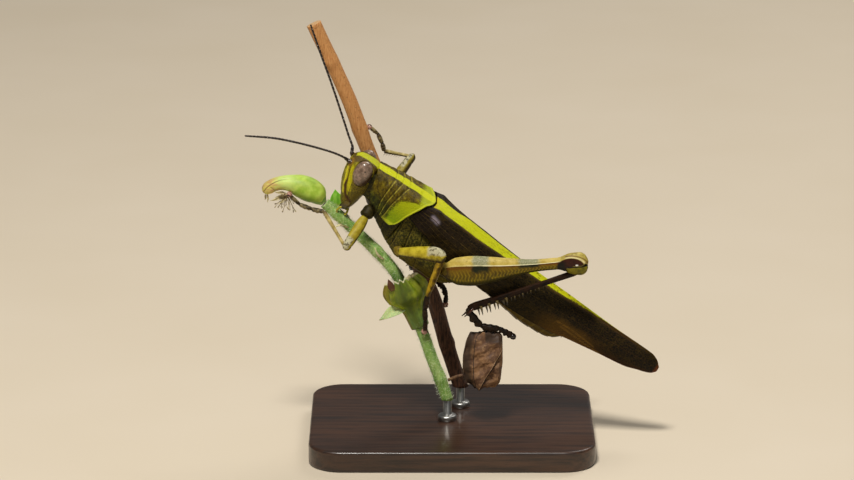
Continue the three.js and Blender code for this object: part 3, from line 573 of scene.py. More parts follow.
def planted(name, shape, roots, aims, sizes, material, twist=6.28, seed=1):
    """Copies of a small shape on many roots (mm), each with its own aim and size (mm)."""
    mesh = bpy.data.meshes.new(f"{name}_points")
    mesh.from_pydata((np.asarray(roots) * MM).tolist(), [], [])
    keep_fields(mesh, {"aim": aims, "size": np.asarray(sizes) * MM})
    obj = grown(name, mesh, planting, {"Shape": shape, "Finish": material, "Twist": twist, "Seed": seed})
    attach(obj, BODY)
    return obj


def soft_hair():
    hair = Finish("soft_hair")
    hair.colour = hair.mix(hair.noise(1.5, 2.0), 0xC9D8AE, 0xF0F2DC)
    return hair.done(0.5, Sheen_Weight=0.3)


STEM_HAIRS = 2600
HAIR_LENGTH = 0.55

chance = np.random.default_rng(11)
hair_row = chance.integers(3, 187, STEM_HAIRS)
hair_turn = chance.integers(0, 40, STEM_HAIRS)
stem_middle = way(STEM, 190)
hair_root = stem_rings[hair_row, hair_turn]
hair_out = unit(hair_root - stem_middle[hair_row])
stem_ahead = directions(stem_middle, FRONT)[0][hair_row]
hair_aim = unit(hair_out + stem_ahead * chance.uniform(-0.1, 0.7, (STEM_HAIRS, 1)))
hair_size = np.column_stack([chance.uniform(0.6, 1.3, (STEM_HAIRS, 1)) * HAIR_LENGTH] * 3)
clear = hair_root[:, 2] > SAW_LEVEL + 0.4
hair_shape = small_shape("hair_shape", [(-0.1, 0.05, 0.05), (0.35, 0.035, 0.035), (0.7, 0.02, 0.02),
                                        (1.0, 0.006, 0.006)], 4, bend=0.25)
hairs = planted("shoot_hairs", hair_shape, hair_root[clear], hair_aim[clear], hair_size[clear],
                soft_hair(), seed=3)
patch = hairs.data.uv_layers.new(name="OFBake")
corner_point = np.empty(len(hairs.data.loops), int)
hairs.data.loops.foreach_get("vertex_index", corner_point)
per_hair = len(hair_shape.data.vertices)
spot = np.column_stack([(hair_turn + 0.5) / 40, hair_row / 190])[clear]
inside = np.column_stack([np.arange(per_hair) % 4, np.arange(per_hair) // 4]) * 0.0007
patch.data.foreach_set("uv", (spot[corner_point // per_hair] + inside[corner_point % per_hair]).ravel())

# The dried stipules and scale leaves at the stem's joints, thin and curled, grown out of its skin.


def sheet(outer, inner):
    """The rings of a thin plate between two surfaces."""
    return np.concatenate([outer, inner[:, ::-1]], axis=1)


def dried_scale():
    scale = Finish("dried_scale")
    streak = scale.noise(2.5, 3.0)
    scale.colour = scale.mottled(streak, 0x6B583C, 0xC4B488)
    scale.fade(0xDDD3A8, scale.field("reach"), 0.2, 0.9)
    return scale.done(0.7, scale.bump(streak, 0.05))


def bract(name, root, tip, up, wide, curl, material, slot, cup=0.35, thick=0.12, wave=0.0, **shades):
    """A small pointed leaf from root to tip, cupped across and curled along."""
    t = np.linspace(0, 1, 15)
    v = np.linspace(-1, 1, 9)
    line = np.array(root) + np.outer(t, np.subtract(tip, root))
    ahead, side, lift = directions(line, up)
    line = line + lift * (curl * np.sin(np.pi * t * 0.9) ** 2)[:, None]
    half = (wide * (0.28 + 0.72 * np.sin(np.pi * np.clip(t * 0.86 + 0.1, 0, 1))) * (1 - 0.85 * t**4))[:, None]
    rise = cup * half * v**2 + wave * np.sin(9 * t[:, None] + 3 * v) * t[:, None]
    outer = line[:, None] + side[:, None] * (half * v)[..., None] + lift[:, None] * rise[..., None]
    inner = outer - lift[:, None] * thick * (1 - 0.7 * np.abs(v))[None, :, None]
    fields = {"reach": t[:, None] + 0 * v, **shades}
    return piece(name, *skin(sheet(outer, inner), "fold"), material, fields, slot)


scale_finish = dried_scale()
bract("upper_stipule", (-21.7, -2.5, 47.2), (-24.6, -4.0, 47.6), (0, 0, 1), 0.7, 0.4, scale_finish,
      "withered_leaf", thick=0.15)
bract("upper_stipule_far", (-21.5, -0.5, 47.6), (-23.5, 1.2, 49.8), (0, 0, 1), 0.6, 0.4, scale_finish,
      "withered_leaf", thick=0.15)
bract("middle_stipule", (-14.3, -2.6, 40.2), (-16.2, -3.4, 43.0), (-1, 0, 0), 0.5, 0.3, scale_finish,
      "withered_leaf", thick=0.15)
bract("lower_bract", (-9.3, -2.2, 30.1), (-15.3, -3.6, 27.2), (0.2, -0.7, 0.7), 1.3, 0.5, stem_finish,
      "green_leaf", cup=0.35, thick=0.2, wave=0.22, end=0.5)

# ---------------------------------------------------------------------------------------------
# Bud. A plump green bud of folded petals in a hairy calyx, yellow and brown at its tip, with a
# few withered sepals and stamens hanging from below the tip.


def petal_skin():
    petal = Finish("petal_skin")
    ripe = petal.field("reach")
    cloud = petal.noise(0.5, 3.0)
    veins = petal.noise(1.8, 3.0, 0.5, petal.stretched((0.2, 1.0, 1.0)))
    petal.colour = petal.mottled(cloud, 0x94B830, 0xBCD65A)
    petal.fade(0xD2E48A, ripe, 0.4, 0.62, 0.0, 0.65)
    # Painted shade: a darker green on the underside of the bud's round base.
    round_base = petal.step(ripe, 0.25, 0.5, 1.0, 0.0)
    low = petal.times(petal.step(petal.field("under"), -0.1, 0.8, 0.0, 0.85), round_base)
    petal.lay(0x5E820E, low)
    drift = petal.plus(ripe, petal.times(petal.plus(cloud, -0.5), 0.3))
    tip = petal.mix(petal.step(veins, 0.4, 0.66), 0xCEC262, 0xC09A62)
    petal.fade(tip, drift, 0.66, 0.84)
    brown = petal.mix(petal.step(drift, 0.58, 0.75), 0x6F8A26, 0x5A3A12)
    petal.fade(brown, petal.field("seam"), 0.35, 0.95, 0.0, 0.8)
    return petal.done((cloud, 0.42, 0.56), petal.bump(veins, 0.04),
                      Subsurface_Weight=0.12, Subsurface_Scale=0.001, Specular_IOR_Level=0.4)


BUD_LINE = [(-27.2, -1.5, 52.6), (-28.6, -1.5, 54.3), (-31.3, -1.5, 55.7), (-34, -1.5, 56.5),
            (-36.2, -1.5, 56.4), (-38.2, -1.5, 55.5), (-39.4, -1.5, 54.5)]
BUD_GIRTH = [(0, 0.95), (0.05, 1.6), (0.14, 2.3), (0.28, 2.55), (0.42, 2.35), (0.58, 1.7), (0.75, 1.4),
             (0.9, 1.35), (0.96, 1.05), (0.99, 0.65), (1, 0.35)]
PETAL_SEAMS = [0.5, 2.0, 3.6, 4.5, 5.5]

bud_t = np.linspace(0, 1, 110)[:, None]
turn = circle(90)[None]
seam = sum(ridge((turn - at - 0.9 * bud_t**2 + np.pi) % (2 * np.pi) - np.pi, 0.1)
           for at in PETAL_SEAMS) * smooth([(0, 0), (0.45, 0.1), (0.75, 1), (1, 1)], bud_t)
seam = np.maximum(seam, 0.7 * ridge(bud_t - 0.87 - 0.05 * np.sin(turn + 0.6), 0.02) * (np.sin(turn) < 0.2))
bud_girth = smooth(BUD_GIRTH, bud_t) * (1 - 0.09 * seam + 0.03 * np.sin(5 * turn + 9 * bud_t) * bud_t**2)
bud = ringed(way(BUD_LINE, 110), (0, 0, 1), 1.1 * bud_girth, bud_girth, around=90)
bud_fields = {"reach": bud_t + 0 * turn, "seam": seam, "under": 0 * seam - np.sin(turn)}
piece("closed_bud", *skin(bud), petal_skin(), bud_fields,
      slot="flower_bud", replaces=["perch_bud"])

CALYX_LOBES = 5
bud_ahead = unit(np.subtract(BUD_LINE[1], BUD_LINE[0]))
for lobe in range(CALYX_LOBES):
    facing = 2 * np.pi * (lobe + 0.4) / CALYX_LOBES
    out = np.cos(facing) * np.array(FRONT) + np.sin(facing) * np.cross(FRONT, bud_ahead)
    bract(f"calyx_lobe_{lobe}", BUD_LINE[0] + 0.8 * out - 0.5 * bud_ahead, BUD_LINE[0] + 2.25 * out
          + 1.7 * bud_ahead, out, 0.9, 0.1, stem_finish, "flower_bud", cup=-0.4, thick=0.16)

SEPALS = [((-34.4, -2.7, 54.3), (-37.0, -3.3, 55.1), 0.4), ((-34.3, -2.4, 53.9), (-38.0, -2.8, 53.0), 0.42),
          ((-34.3, -2.2, 53.9), (-37.0, -2.4, 53.7), 0.34), ((-38.6, -1.9, 54.3), (-38.5, -2.2, 52.5), 0.22),
          ((-34.2, -2.2, 53.9), (-36.3, -3.0, 52.2), 0.32), ((-39.0, -1.5, 54.0), (-39.1, -1.4, 52.8), 0.2)]
for number, (root, tip, wide) in enumerate(SEPALS):
    bract(f"withered_sepal_{number}", root, tip, (0.2, -0.9, 0.4), wide, 0.35, scale_finish, "flower_bud",
          thick=0.14, wave=0.3)

STAMENS = 16
stamen_root = np.array([-34.4, -2.0, 53.8]) + chance.uniform(-0.4, 0.4, (STAMENS, 3))
stamen_aim = unit(chance.uniform((-1.3, -0.6, -1.1), (0.5, 0.3, -0.4), (STAMENS, 3)))
stamen_shape = small_shape("stamen_shape", [(-0.1, 0.03, 0.03), (0.6, 0.02, 0.02), (0.85, 0.018, 0.018),
                                            (0.9, 0.05, 0.04), (1.0, 0.03, 0.03)], 6, bend=0.3)
planted("withered_stamens", stamen_shape, stamen_root, stamen_aim,
        chance.uniform(1.8, 3.8, (STAMENS, 1)) * np.ones(3), scale_finish, seed=5)

# ---------------------------------------------------------------------------------------------
# Clasping leaf. It grips the stem like a funnel, opens round its front like half a bowl, and is
# fluted along the veins that fan out from its base, brown on one edge and curled white at the rim.


def leaf_blade():
    leaf = Finish("leaf_blade")
    reach, turn = leaf.field("reach"), leaf.field("turn")
    cloud = leaf.noise(0.45, 4.0, 0.6)
    fine = leaf.noise(4.0, 3.0, 0.6)
    veins = leaf.step(leaf.field("vein"), 0.35, 0.95)
    leaf.colour = leaf.mix(leaf.step(cloud, 0.35, 0.66), 0x5E7408, 0xA0AE16)
    # Painted shade: the funnel round the stem is a darker green low down.
    leaf.fade(0x4E7034, reach, 0.12, 0.5, 0.9, 0.0)
    leaf.lay(0x9CB048, leaf.times(veins, 0.25))
    browned = leaf.plus(turn, leaf.times(cloud, 0.4))
    leaf.lay(0x4C5E0A, leaf.band(browned, -0.05, 0.35, 0.2))
    leaf.fade(0x8A7814, browned, -0.6, -0.1, 0.8, 0.0)
    leaf.fade(0x4E2A0C, browned, -0.82, -0.62, 1.0, 0.0)
    rim = leaf.step(leaf.plus(reach, leaf.times(cloud, 0.08)), 1.0, 1.035)
    leaf.lay(0xD8D5B2, rim)
    relief = leaf.bump(fine, 0.05, leaf.bump(cloud, 0.15))
    return leaf.done((fine, 0.42, 0.6), relief, Subsurface_Weight=0.08, Subsurface_Scale=0.001)


LEAF_ROOT, LEAF_TIP = (-6.7, -1.5, 25.2), (-10.9, -1.5, 36.2)
LEAF_RADII = [(0, 1.65), (0.3, 1.95), (0.46, 2.6), (0.62, 4.2), (0.8, 4.6), (1, 4.15)]
LEAF_WRAP = [(0, 95), (0.35, 105), (0.55, 105), (0.8, 84), (1, 60)]
LEAF_VEINS = 9
LEAF_THICK = 0.32

t = np.linspace(0, 1, 40)[:, None]
v = np.linspace(-1, 1, 91)[None]
leaf_ahead = unit(np.subtract(LEAF_TIP, LEAF_ROOT))
leaf_front = unit(np.array(FRONT) - leaf_ahead * np.dot(FRONT, leaf_ahead))
leaf_side = np.cross(leaf_ahead, leaf_front)
flute = np.cos(np.pi * LEAF_VEINS * v)
scallop = 1 + 0.035 * (1 - np.abs(v)) * np.cos(np.pi * LEAF_VEINS * v) * t**4
wrap = np.radians(smooth(LEAF_WRAP, t))
radius = smooth(LEAF_RADII, t) + 0.25 * flute * t + 0.45 * np.sin(2.2 * v + 1) * t**3


def leaf_surface(radius):
    up = np.subtract(LEAF_TIP, LEAF_ROOT) * (t * scallop)[..., None]
    return (np.array(LEAF_ROOT) + up + leaf_front * (np.cos(wrap * v) * radius * 0.75)[..., None]
            + leaf_side * (np.sin(wrap * v) * radius)[..., None])


leaf_fields = {"reach": t + 0 * v, "turn": v + 0 * t, "vein": flute + 0 * t}
blade_finish = leaf_blade()
piece("clasping_leaf", *skin(sheet(leaf_surface(radius + LEAF_THICK), leaf_surface(radius)), "fold"),
      blade_finish, leaf_fields,
      slot="green_leaf", replaces=["perch_leaf"])
bract("dry_leaf_tooth", (-12.3, -5.0, 34.0), (-13.4, -4.7, 36.5), FRONT, 0.75, 0.2, blade_finish,
      "green_leaf", cup=0.3, thick=0.25, turn=-1.0)
rim_place = leaf_surface(radius + 0.5 * LEAF_THICK)[-1, 56:84]
rim_line = way(rim_place[::3] + leaf_ahead * 0.1, 60)
rim_roll = ringed(rim_line, leaf_ahead, 0.2 * np.sin(np.linspace(0.25, 2.9, 60))[:, None] + 0.1, around=10)
piece("leaf_rim", *skin(rim_roll), scale_finish, {"reach": 1}, slot="green_leaf")


def tender_leaf():
    leaf = Finish("tender_leaf")
    veins = leaf.noise(2.0, 3.0, 0.5, leaf.stretched((1.0, 1.0, 0.3)))
    leaf.colour = leaf.mottled(veins, 0x6FB81E, 0x9AD648)
    leaf.fade(0xC9C24A, leaf.field("reach"), 0.0, 0.3, 1.0, 0.0)
    return leaf.done(0.45, leaf.bump(veins, 0.06), Subsurface_Weight=0.1, Subsurface_Scale=0.001)


tender_finish = tender_leaf()
small_leaf = bract("bud_leaflet", (-23.9, 0.3, 50.7), (-24.5, 0.6, 54.5), (0, -1, 0), 1.45, 0.25,
                   tender_finish, "green_leaf", cup=0.3, thick=0.5)
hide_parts("perch_leaf_small")

# ---------------------------------------------------------------------------------------------
# Withered leaf. Brown and brittle, shrunk and folded on itself, it hangs by a thin stalk from
# the stem. The creases follow its midrib and side veins.


def withered_blade():
    leaf = Finish("withered_blade")
    cloud = leaf.noise(0.4, 4.0, 0.6)
    crinkle = leaf.noise(1.6, 4.0, 0.65)
    cells = leaf.cells(2.2, "DISTANCE_TO_EDGE")
    leaf.colour = leaf.mix(leaf.step(cloud, 0.4, 0.7), 0x5A3C26, 0x8E6844)
    leaf.fade(0xB08E66, crinkle, 0.45, 0.75, 0.0, 0.45)
    leaf.fade(0x3E281A, cells, 0.0, 0.05, 0.25, 0.0)
    # Painted shade on the left face, the top right and in the creases; a painted highlight on the raised edge
    # just above the slanting fold.
    leaf.fade(0x2C1E14, leaf.field("shade"), 0.0, 1.0, 0.0, 0.82)
    leaf.fade(0xC4A07C, leaf.field("rim"), 0.3, 0.9, 0.0, 0.8)
    leaf.fade(0x1C0E08, leaf.field("crease"), 0.3, 0.8, 0.0, 0.85)
    relief = leaf.bump(crinkle, 0.07, leaf.bump(cells, 0.03))
    return leaf.done((crinkle, 0.6, 0.8), relief)


DRY_ROOT = (6.7, -4.2, 12.6)
DRY_HEIGHT = 12.2
DRY_FOLDS = [(4.1, 0.6), (3.4, 1.6), (-1.9, 1.9), (-4.0, -0.2), (-2.8, -1.5), (2.8, -1.6)]   # [right, front]
DRY_LEFT = [(0, 0.5), (0.1, 0.95), (0.25, 1.1), (0.5, 1.08), (0.8, 0.92), (0.95, 0.72), (1, 0.55)]
DRY_RIGHT = [(0, 0.45), (0.08, 0.82), (0.3, 0.93), (0.5, 1), (0.93, 1), (1, 0.82)]
DRY_DEEP = [(0, 0.5), (0.15, 0.95), (0.5, 1.05), (0.8, 1), (1, 0.6)]
STALK = [(4.4, -3.6, 15), (1.6, -2.6, 14.6), (-0.75, -1.9, 13.4)]

t = np.linspace(0, 1, 120)[:, None]
folds = np.array(DRY_FOLDS + DRY_FOLDS[:1])
fold_way = np.linspace(0, len(DRY_FOLDS), 192, endpoint=False)
right, front = (np.interp(fold_way, range(7), folds[:, k])[None] + 0 * t for k in (0, 1))
x, z = right * np.where(right < 0, smooth(DRY_LEFT, t), smooth(DRY_RIGHT, t)), DRY_HEIGHT * t
over = 0.86 * (x - 4.1) - 0.51 * (z - 8.6)       # how far below the slanting fold across the front
faces_front = np.clip((front - 0.5) / 0.6, 0, 1)
near_fold = np.where(over < 0, 0.45 * ridge(over, 1.3), -0.35 * ridge(over, 1.1)) * np.clip(8 - 10 * t, 0, 1)
ribs = 0.05 * np.sin(6 * (z - 0.6 * x) + 2 * np.sin(1.5 * x + 0.8 * z)) * np.clip(0.8 - np.abs(t - 0.5), 0, 1)
hollows = 0.22 * np.sin(0.9 * z + 1.2 * x + 1) + 0.13 * np.sin(2.3 * z - 1.1 * x)
deep = front * smooth(DRY_DEEP, t) + faces_front * (near_fold + ribs) + hollows * np.sign(front)
lift = 0.3 * np.sin(1.7 * x + 0.4) + 0.18 * np.sin(4.1 * x + front)
dry_leaf = np.stack([x - 0.2 * t, -deep, z + lift * (2 * t - 1)**6], -1) + DRY_ROOT
# The creases get painted shade, the raised edge just above the slanting fold a painted highlight, and the
# left face and the top right corner painted shade.
slant_crease_shade, side_crease_shade = ridge(over - 0.14, 0.2) * (t < 0.72), ridge(right + 1.9, 0.12)
dry_shades = {"crease": np.maximum(slant_crease_shade, side_crease_shade) * faces_front,
              "rim": ridge(over + 0.12, 0.1) * (t < 0.7) * faces_front,
              "shade": np.clip(np.maximum(-2 - right, (t - 0.8) * 12 * (right > 0.5)), 0, 1)}
dry_finish = withered_blade()
piece("withered_leaf", *skin(dry_leaf), dry_finish, dry_shades,
      slot="withered_leaf", replaces=["perch_dry_leaf"])
stalk = ringed(way(STALK, 30), (0, 0, 1), 0.33, around=12)
piece("withered_stalk", *skin(stalk), dry_finish, {"shade": 0.3}, slot="withered_leaf")

# ---------------------------------------------------------------------------------------------
# Trunk. The thorax is a box of thick side plates that slant back to the hip of each leg, and the
# abdomen is a row of overlapping hoops, soft along the flank. Lengths on the insect are in
# millimetres back from the collar, to its right and up.

COLLAR = np.array([-14.4, -3.0, 60.4])
SLOPE, LEAN = 34, 12                 # degrees that the body slopes down and leans over
POSE = np.array(Matrix.Rotation(radians(SLOPE), 3, "Y") @ Matrix.Rotation(radians(LEAN), 3, "X"))


def in_place(points):
    """From the insect's own directions to the stand's."""
    return COLLAR + np.asarray(points, float) @ POSE.T


def insect_piece(name, shape, material, slot, replaces=(), **fields):
    points, faces = shape
    fields["own"] = points
    return piece(name, in_place(points), faces, material, fields, slot, replaces)


def outward(grid):
    """The outward direction at each point of closed rings."""
    normal = np.cross(np.gradient(grid, axis=0), np.roll(grid, -1, 1) - np.roll(grid, 1, 1))
    normal = normal / np.maximum(np.linalg.norm(normal, axis=-1, keepdims=True), 1e-9)
    return normal * np.sign((normal * (grid - grid.mean(1, keepdims=True))).sum())


def raised(grid, amount):
    return grid + outward(grid) * np.asarray(amount)[..., None]


SHELL = 0.5
WING_TIP = 72.9
RIDGE = [(9, -0.9), (13, -0.5), (16, -0.05), (21, 0.1), (25, -0.25), (30.7, -0.75), (36, -1.0),
         (42, -1.2), (48, -1.4), (61.5, -2.15), (66.7, -2.25), (69.8, -2.4), (71.5, -3.0), (WING_TIP, -4.2)]
SHOULDER = [(9, 3.4), (13, 4.0), (16, 4.2), (19, 3.6), (22, 3.1), (26, 3.2), (30, 3.0), (36, 2.4),
            (42, 1.8), (48, 1.4), (60, 0.95), (70, 0.6), (WING_TIP, 0.3)]
DROP = [(9, -0.5), (14.4, -0.55), (16, 0), (19, 0.45), (22, 0.6), (48, 0.6), (60, 0.45), (WING_TIP, 0.3)]
FLANK = [(9, 4.4), (13, 4.9), (16, 5.3), (20, 5.6), (25, 5.4), (30, 5.1), (36, 4.7), (42, 4.2),
         (48, 3.6), (53.5, 3.0), (60, 2.35), (66, 1.8), (70, 1.3), (WING_TIP, 0.5)]
HEM = [(9, -4.4), (12, -5.2), (20, -7.1), (28, -8.8), (36, -9.6), (44, -9.75), (53.5, -8.8),
       (60.6, -8.05), (66.4, -7.5), (69, -6.75), (72, -5.95), (WING_TIP, -5.1)]


def roof(x, v):
    """Half width and height of the folded wings' outside, from the ridge (0) to the hem (1)."""
    peak, shoulder, flank, hem = (smooth(line, x) for line in (RIDGE, SHOULDER, FLANK, HEM))
    high = peak - smooth(DROP, x)
    low = (high * 1.1 + hem) / 2.1
    return (smooth([(0, 0), (0.35, shoulder), (0.66, flank), (1, 0.9 * flank)], v),
            smooth([(0, peak), (0.35, high), (0.66, low), (1, hem)], v))


def under_roof(x, v, depth, least=0.06):
    """A point at a depth under the outside of the right wing."""
    x, v = np.broadcast_arrays(np.asarray(x, float), np.asarray(v, float))
    (y, z), before, after = roof(x, v), roof(x, v - 0.05), roof(x, v + 0.05)
    along_y, along_z = after[0] - before[0], after[1] - before[1]
    length = np.hypot(along_y, along_z)
    y = y + along_z / length * depth
    return np.stack([x, np.maximum(y, least), z - along_y / length * depth], -1)


BELLY = [(1, -8.3), (2.5, -9.6), (4.5, -10.6), (7, -12.1), (9.4, -13.6), (13.8, -15.3), (22, -15.4),
         (25, -14.2), (27, -12.3), (30.4, -11.4), (37.6, -12.05), (43.2, -12.8), (48.2, -12.6),
         (50.6, -11.8), (52, -10.4)]


def trunk_rings(x, outline, count=70):
    """Rings from the middle of the back round to the belly: (part of the way, half, height)."""
    t = np.linspace(0, 1, count)[None]
    y = smooth([(at, wide) for at, wide, _ in outline], t)
    z = smooth([(at, high) for at, _, high in outline], t)
    right = np.stack([np.broadcast_to(x, y.shape), y, z], -1)
    return np.concatenate([right, right[:, -2:0:-1] * (1, -1, 1)], axis=1)


def body_cuticle():
    shell = Finish("body_cuticle")
    x, z = shell.own(0), shell.own(2)
    cloud = shell.noise(0.35, 4.0, 0.6)
    fine = shell.noise(2.6, 4.0, 0.6)
    pits = shell.cells(3.6)
    drift = shell.plus(z, shell.times(cloud, 2.5))
    shell.colour = shell.mix(shell.step(drift, -14.0, -9.0), 0x5E4E0A, 0x2C2C06)
    shell.fade(0x6A601C, fine, 0.42, 0.62, 0.0, 0.8)
    shell.fade(0x161403, cloud, 0.5, 0.66, 0.0, 0.75)
    shell.fade(0x6E5E22, shell.field("lip"), 0.25, 0.9, 0.0, 0.35)
    shell.fade(0x120F05, shell.field("suture"), 0.3, 0.9, 0.0, 0.8)
    # Painted shade: the neck and prothorax, under the saddle, are darkened.
    shell.fade(0x141405, x, 8.0, 9.6, 0.6, 0.0)
    relief = shell.bump(pits, 0.06, shell.bump(fine, 0.12))
    return shell.done((fine, 0.4, 0.6), relief, Specular_IOR_Level=0.18)


body_finish = body_cuticle()
x = np.linspace(-1.6, 9.3, 80)[:, None]
back_half, side_half, belly_half = (smooth([(-1.6, a), (0.6, b), (1.6, c), (11, d)], x) for a, b, c, d in (
    (1.9, 2.1, 2.25, 3.2), (2.9, 3.2, 3.4, 4.45), (1.6, 2.1, 2.5, 3.1)))
belly = smooth([(-1.6, -6.6), (0, -7.6), *BELLY], x)
prothorax = trunk_rings(x, [(0, 0, -1.1), (0.2, back_half, -1.35), (0.42, side_half, -3.4),
                            (0.66, side_half - 0.1, -6.6), (0.85, belly_half, belly + 1.1), (1, 0, belly)])
slanting = prothorax[..., 0] + 0.25 * prothorax[..., 2] + 2.2
folds = sum(ridge(slanting - at, 0.16) for at in (1.9, 3.0, 4.6, 6.4))
insect_piece("neck_and_prothorax", skin(raised(prothorax, -0.1 * folds)), body_finish, "body_shell",
             ["prothorax"], suture=folds, lip=np.roll(folds, 2, 0))

SUTURES = [(9.9, 0.12), (12.4, 0.2), (15.3, 0.32), (19.2, 0.42), (23.6, 0.34)]  # [x at z -8, slant back]

under = SHELL + 0.42
x = np.linspace(9.5, 26.4, 150)[:, None]
belly = smooth(BELLY, x)
upper, middle, lower = (under_roof(x, v, under) for v in (0.35, 0.66, 1.0))
thorax = trunk_rings(x, [(0, 0, smooth(RIDGE, x) - under), (0.16, upper[..., 1], upper[..., 2]),
                         (0.34, middle[..., 1], middle[..., 2]), (0.5, lower[..., 1], lower[..., 2]),
                         (0.66, 5.0, (lower[..., 2] + belly) / 2), (0.84, 3.5, belly + 1.3),
                         (1, 0, belly)], 100)
down = -8 - thorax[..., 2]
flank = np.clip((np.abs(thorax[..., 1]) - 1.6) / 1.2, 0, 1)
slanted = [thorax[..., 0] - at - slant * down for at, slant in SUTURES]
suture = sum(ridge(distance, 0.11) for distance in slanted) * flank
lip = sum(ridge(distance - 0.26, 0.12) for distance in slanted) * flank
shelf = ridge(thorax[..., 2] + 13.6 - 0.01 * (thorax[..., 0] - 18) ** 2, 0.14)
suture = np.maximum(suture, shelf * flank)
plate = sum(ridge(distance + 1.1, 0.9) for distance in slanted) * flank
thorax = raised(thorax, 0.06 * lip + 0.13 * plate - 0.16 * suture - 0.05)
insect_piece("winged_thorax", skin(thorax), body_finish, "body_shell", ["thorax"], suture=suture, lip=lip)


def hooped_cuticle():
    hoop = Finish("hooped_cuticle")
    cloud = hoop.noise(0.4, 3.0)
    fine = hoop.noise(3.0, 4.0, 0.6)
    ring = hoop.field("ring")
    # Painted shade: the hoops' ground colour is kept dark for the shade under the wings.
    hoop.colour = hoop.mottled(cloud, 0x3A3108, 0x57490E)
    hoop.fade(0x2A2205, fine, 0.52, 0.66, 0.0, 0.6)
    hoop.fade(0x7A6A26, ring, 0.72, 0.95)
    hoop.fade(0x1A1404, ring, 0.0, 0.12, 0.85, 0.0)
    hoop.fade(0x6E5820, hoop.field("under"), 0.6, 0.85, 0.0, 0.6)
    hoop.fade(0x1C1506, hoop.field("fold"), 0.3, 0.9)
    return hoop.done((fine, 0.4, 0.58), hoop.bump(fine, 0.09), Specular_IOR_Level=0.3)


HOOPS = [26.5, 29.6, 32.9, 36.2, 39.4, 42.4, 45.2, 47.7, 49.8, 52.0]
ABDOMEN_HALF = [(26, 3.4), (36, 2.9), (43, 2.5), (48, 2.0), (50.5, 1.5), (52, 0.8)]

x = np.linspace(26.5, 52, 320)[:, None]
tail = np.clip((x - 47) / 6.5, 0, 1)
tail = tail * tail * (3 - 2 * tail)
top = smooth(RIDGE, x) - 2.1 - 3.4 * tail
belly, half = smooth(BELLY, x), smooth(ABDOMEN_HALF, x)
abdomen = trunk_rings(x, [(0, 0, top), (0.2, 0.72 * half, top + 0.16 * (belly - top)),
                          (0.5, half, (top + belly) / 2), (0.8, 0.78 * half, top + 0.83 * (belly - top)),
                          (1, 0, belly)])
round_way = np.concatenate([np.linspace(0, 1, 70), np.linspace(1, 0, 70)[1:-1]])[None]
leaning = abdomen[..., 0] + 0.5 * np.cos(2 * np.pi * round_way) - 0.5
hoop_number = np.clip(np.searchsorted(HOOPS, leaning) - 1, 0, len(HOOPS) - 2)
starts, ends = np.array(HOOPS)[hoop_number], np.array(HOOPS)[hoop_number + 1]
ring = np.clip((leaning - starts) / (ends - starts), 0, 1)
fold = ridge(round_way - 0.72, 0.012) + 0 * ring
abdomen = raised(abdomen, 0.16 * ring**1.5 - 0.12 * fold - 0.06 + 0.05 * np.sin(np.pi * ring))
hoop_finish = hooped_cuticle()
insect_piece("hooped_abdomen", skin(abdomen), hoop_finish, "abdomen_shell", ["abdomen"],
             ring=ring, fold=fold, under=round_way + 0 * ring)

VALVES = [("cercus", [(50.0, 1.2, -8.0), (51.0, 1.4, -8.1), (52.0, 1.3, -8.4)], 0.3),
          ("upper_valve", [(50.4, 0.45, -8.7), (51.6, 0.5, -8.9), (52.4, 0.5, -8.4)], 0.42),
          ("lower_valve", [(50.2, 0.5, -9.9), (51.5, 0.55, -9.8), (52.2, 0.55, -10.4)], 0.4)]
SIDES = (("left", -1), ("right", 1))

for end, side in SIDES:
    for name, places, size in VALVES:
        line = way(np.array(places) * (1, side, 1), 24)
        valve = ringed(line, (0, 0, 1), size * (1 - np.linspace(0, 0.96, 24) ** 2)[:, None], around=14)
        insect_piece(f"{name}_{end}", skin(valve), hoop_finish, "abdomen_shell",
                     ring=0.5, fold=0, under=0.6)

# ---------------------------------------------------------------------------------------------
# Head. One hard capsule, moulded with a forehead ridge, two cheek ridges, a rim round each eye
# and a socket for each feeler, and banded in yellow, brown and dark olive.

EYE_CENTRE, EYE_RADII, EYE_TILT = np.array([-3.0, 2.9, -2.6]), np.array([2.0, 1.7, 2.95]), -10
# [height, front, back, half width] from the crown down to the mouth
HEAD_ROWS = [(0.12, -2.95, -2.7, 0.08), (0.05, -4.4, -1.3, 1.1), (-0.2, -5.3, -0.6, 2.1),
             (-0.9, -6.05, -0.25, 2.9), (-1.8, -6.5, -0.1, 3.35), (-3.2, -6.5, 0.1, 3.7),
             (-4.8, -6.33, 0.6, 3.85), (-6.1, -6.0, 0.5, 3.85), (-7.6, -5.35, 0.05, 3.6),
             (-9.2, -4.5, -0.1, 3.1), (-10.4, -3.75, -0.3, 2.6), (-11.0, -3.4, -0.45, 2.35)]
HEAD_SQUARENESS = 2.4
# On the insect's right; the left mirrors them
FACE_STRIPE = [(-6.0, 2.2, -2.5), (-5.5, 2.9, -4.0), (-4.9, 3.2, -5.5), (-4.5, 3.2, -6.8), (-3.2, 3.1, -8.6),
               (-1.9, 2.9, -9.6)]
FACE_LINE = [(-6.1, 1.7, -3.2), (-6.0, 2.1, -3.8), (-5.3, 2.9, -5.5), (-4.7, 2.8, -7.2), (-4.1, 2.7, -8.4)]
CHEEK_BAND = [(-5.3, 3.0, -2.6), (-4.6, 3.5, -4.6), (-4.0, 3.65, -6.0), (-3.4, 3.75, -7.0)]
CHEEK_SEAM = [(-3.7, 3.8, -5.6), (-3.2, 3.7, -7.2), (-2.6, 3.2, -9.0), (-2.3, 2.9, -10.4)]
FEELER_ROOT = (-6.25, 1.55, -2.3)


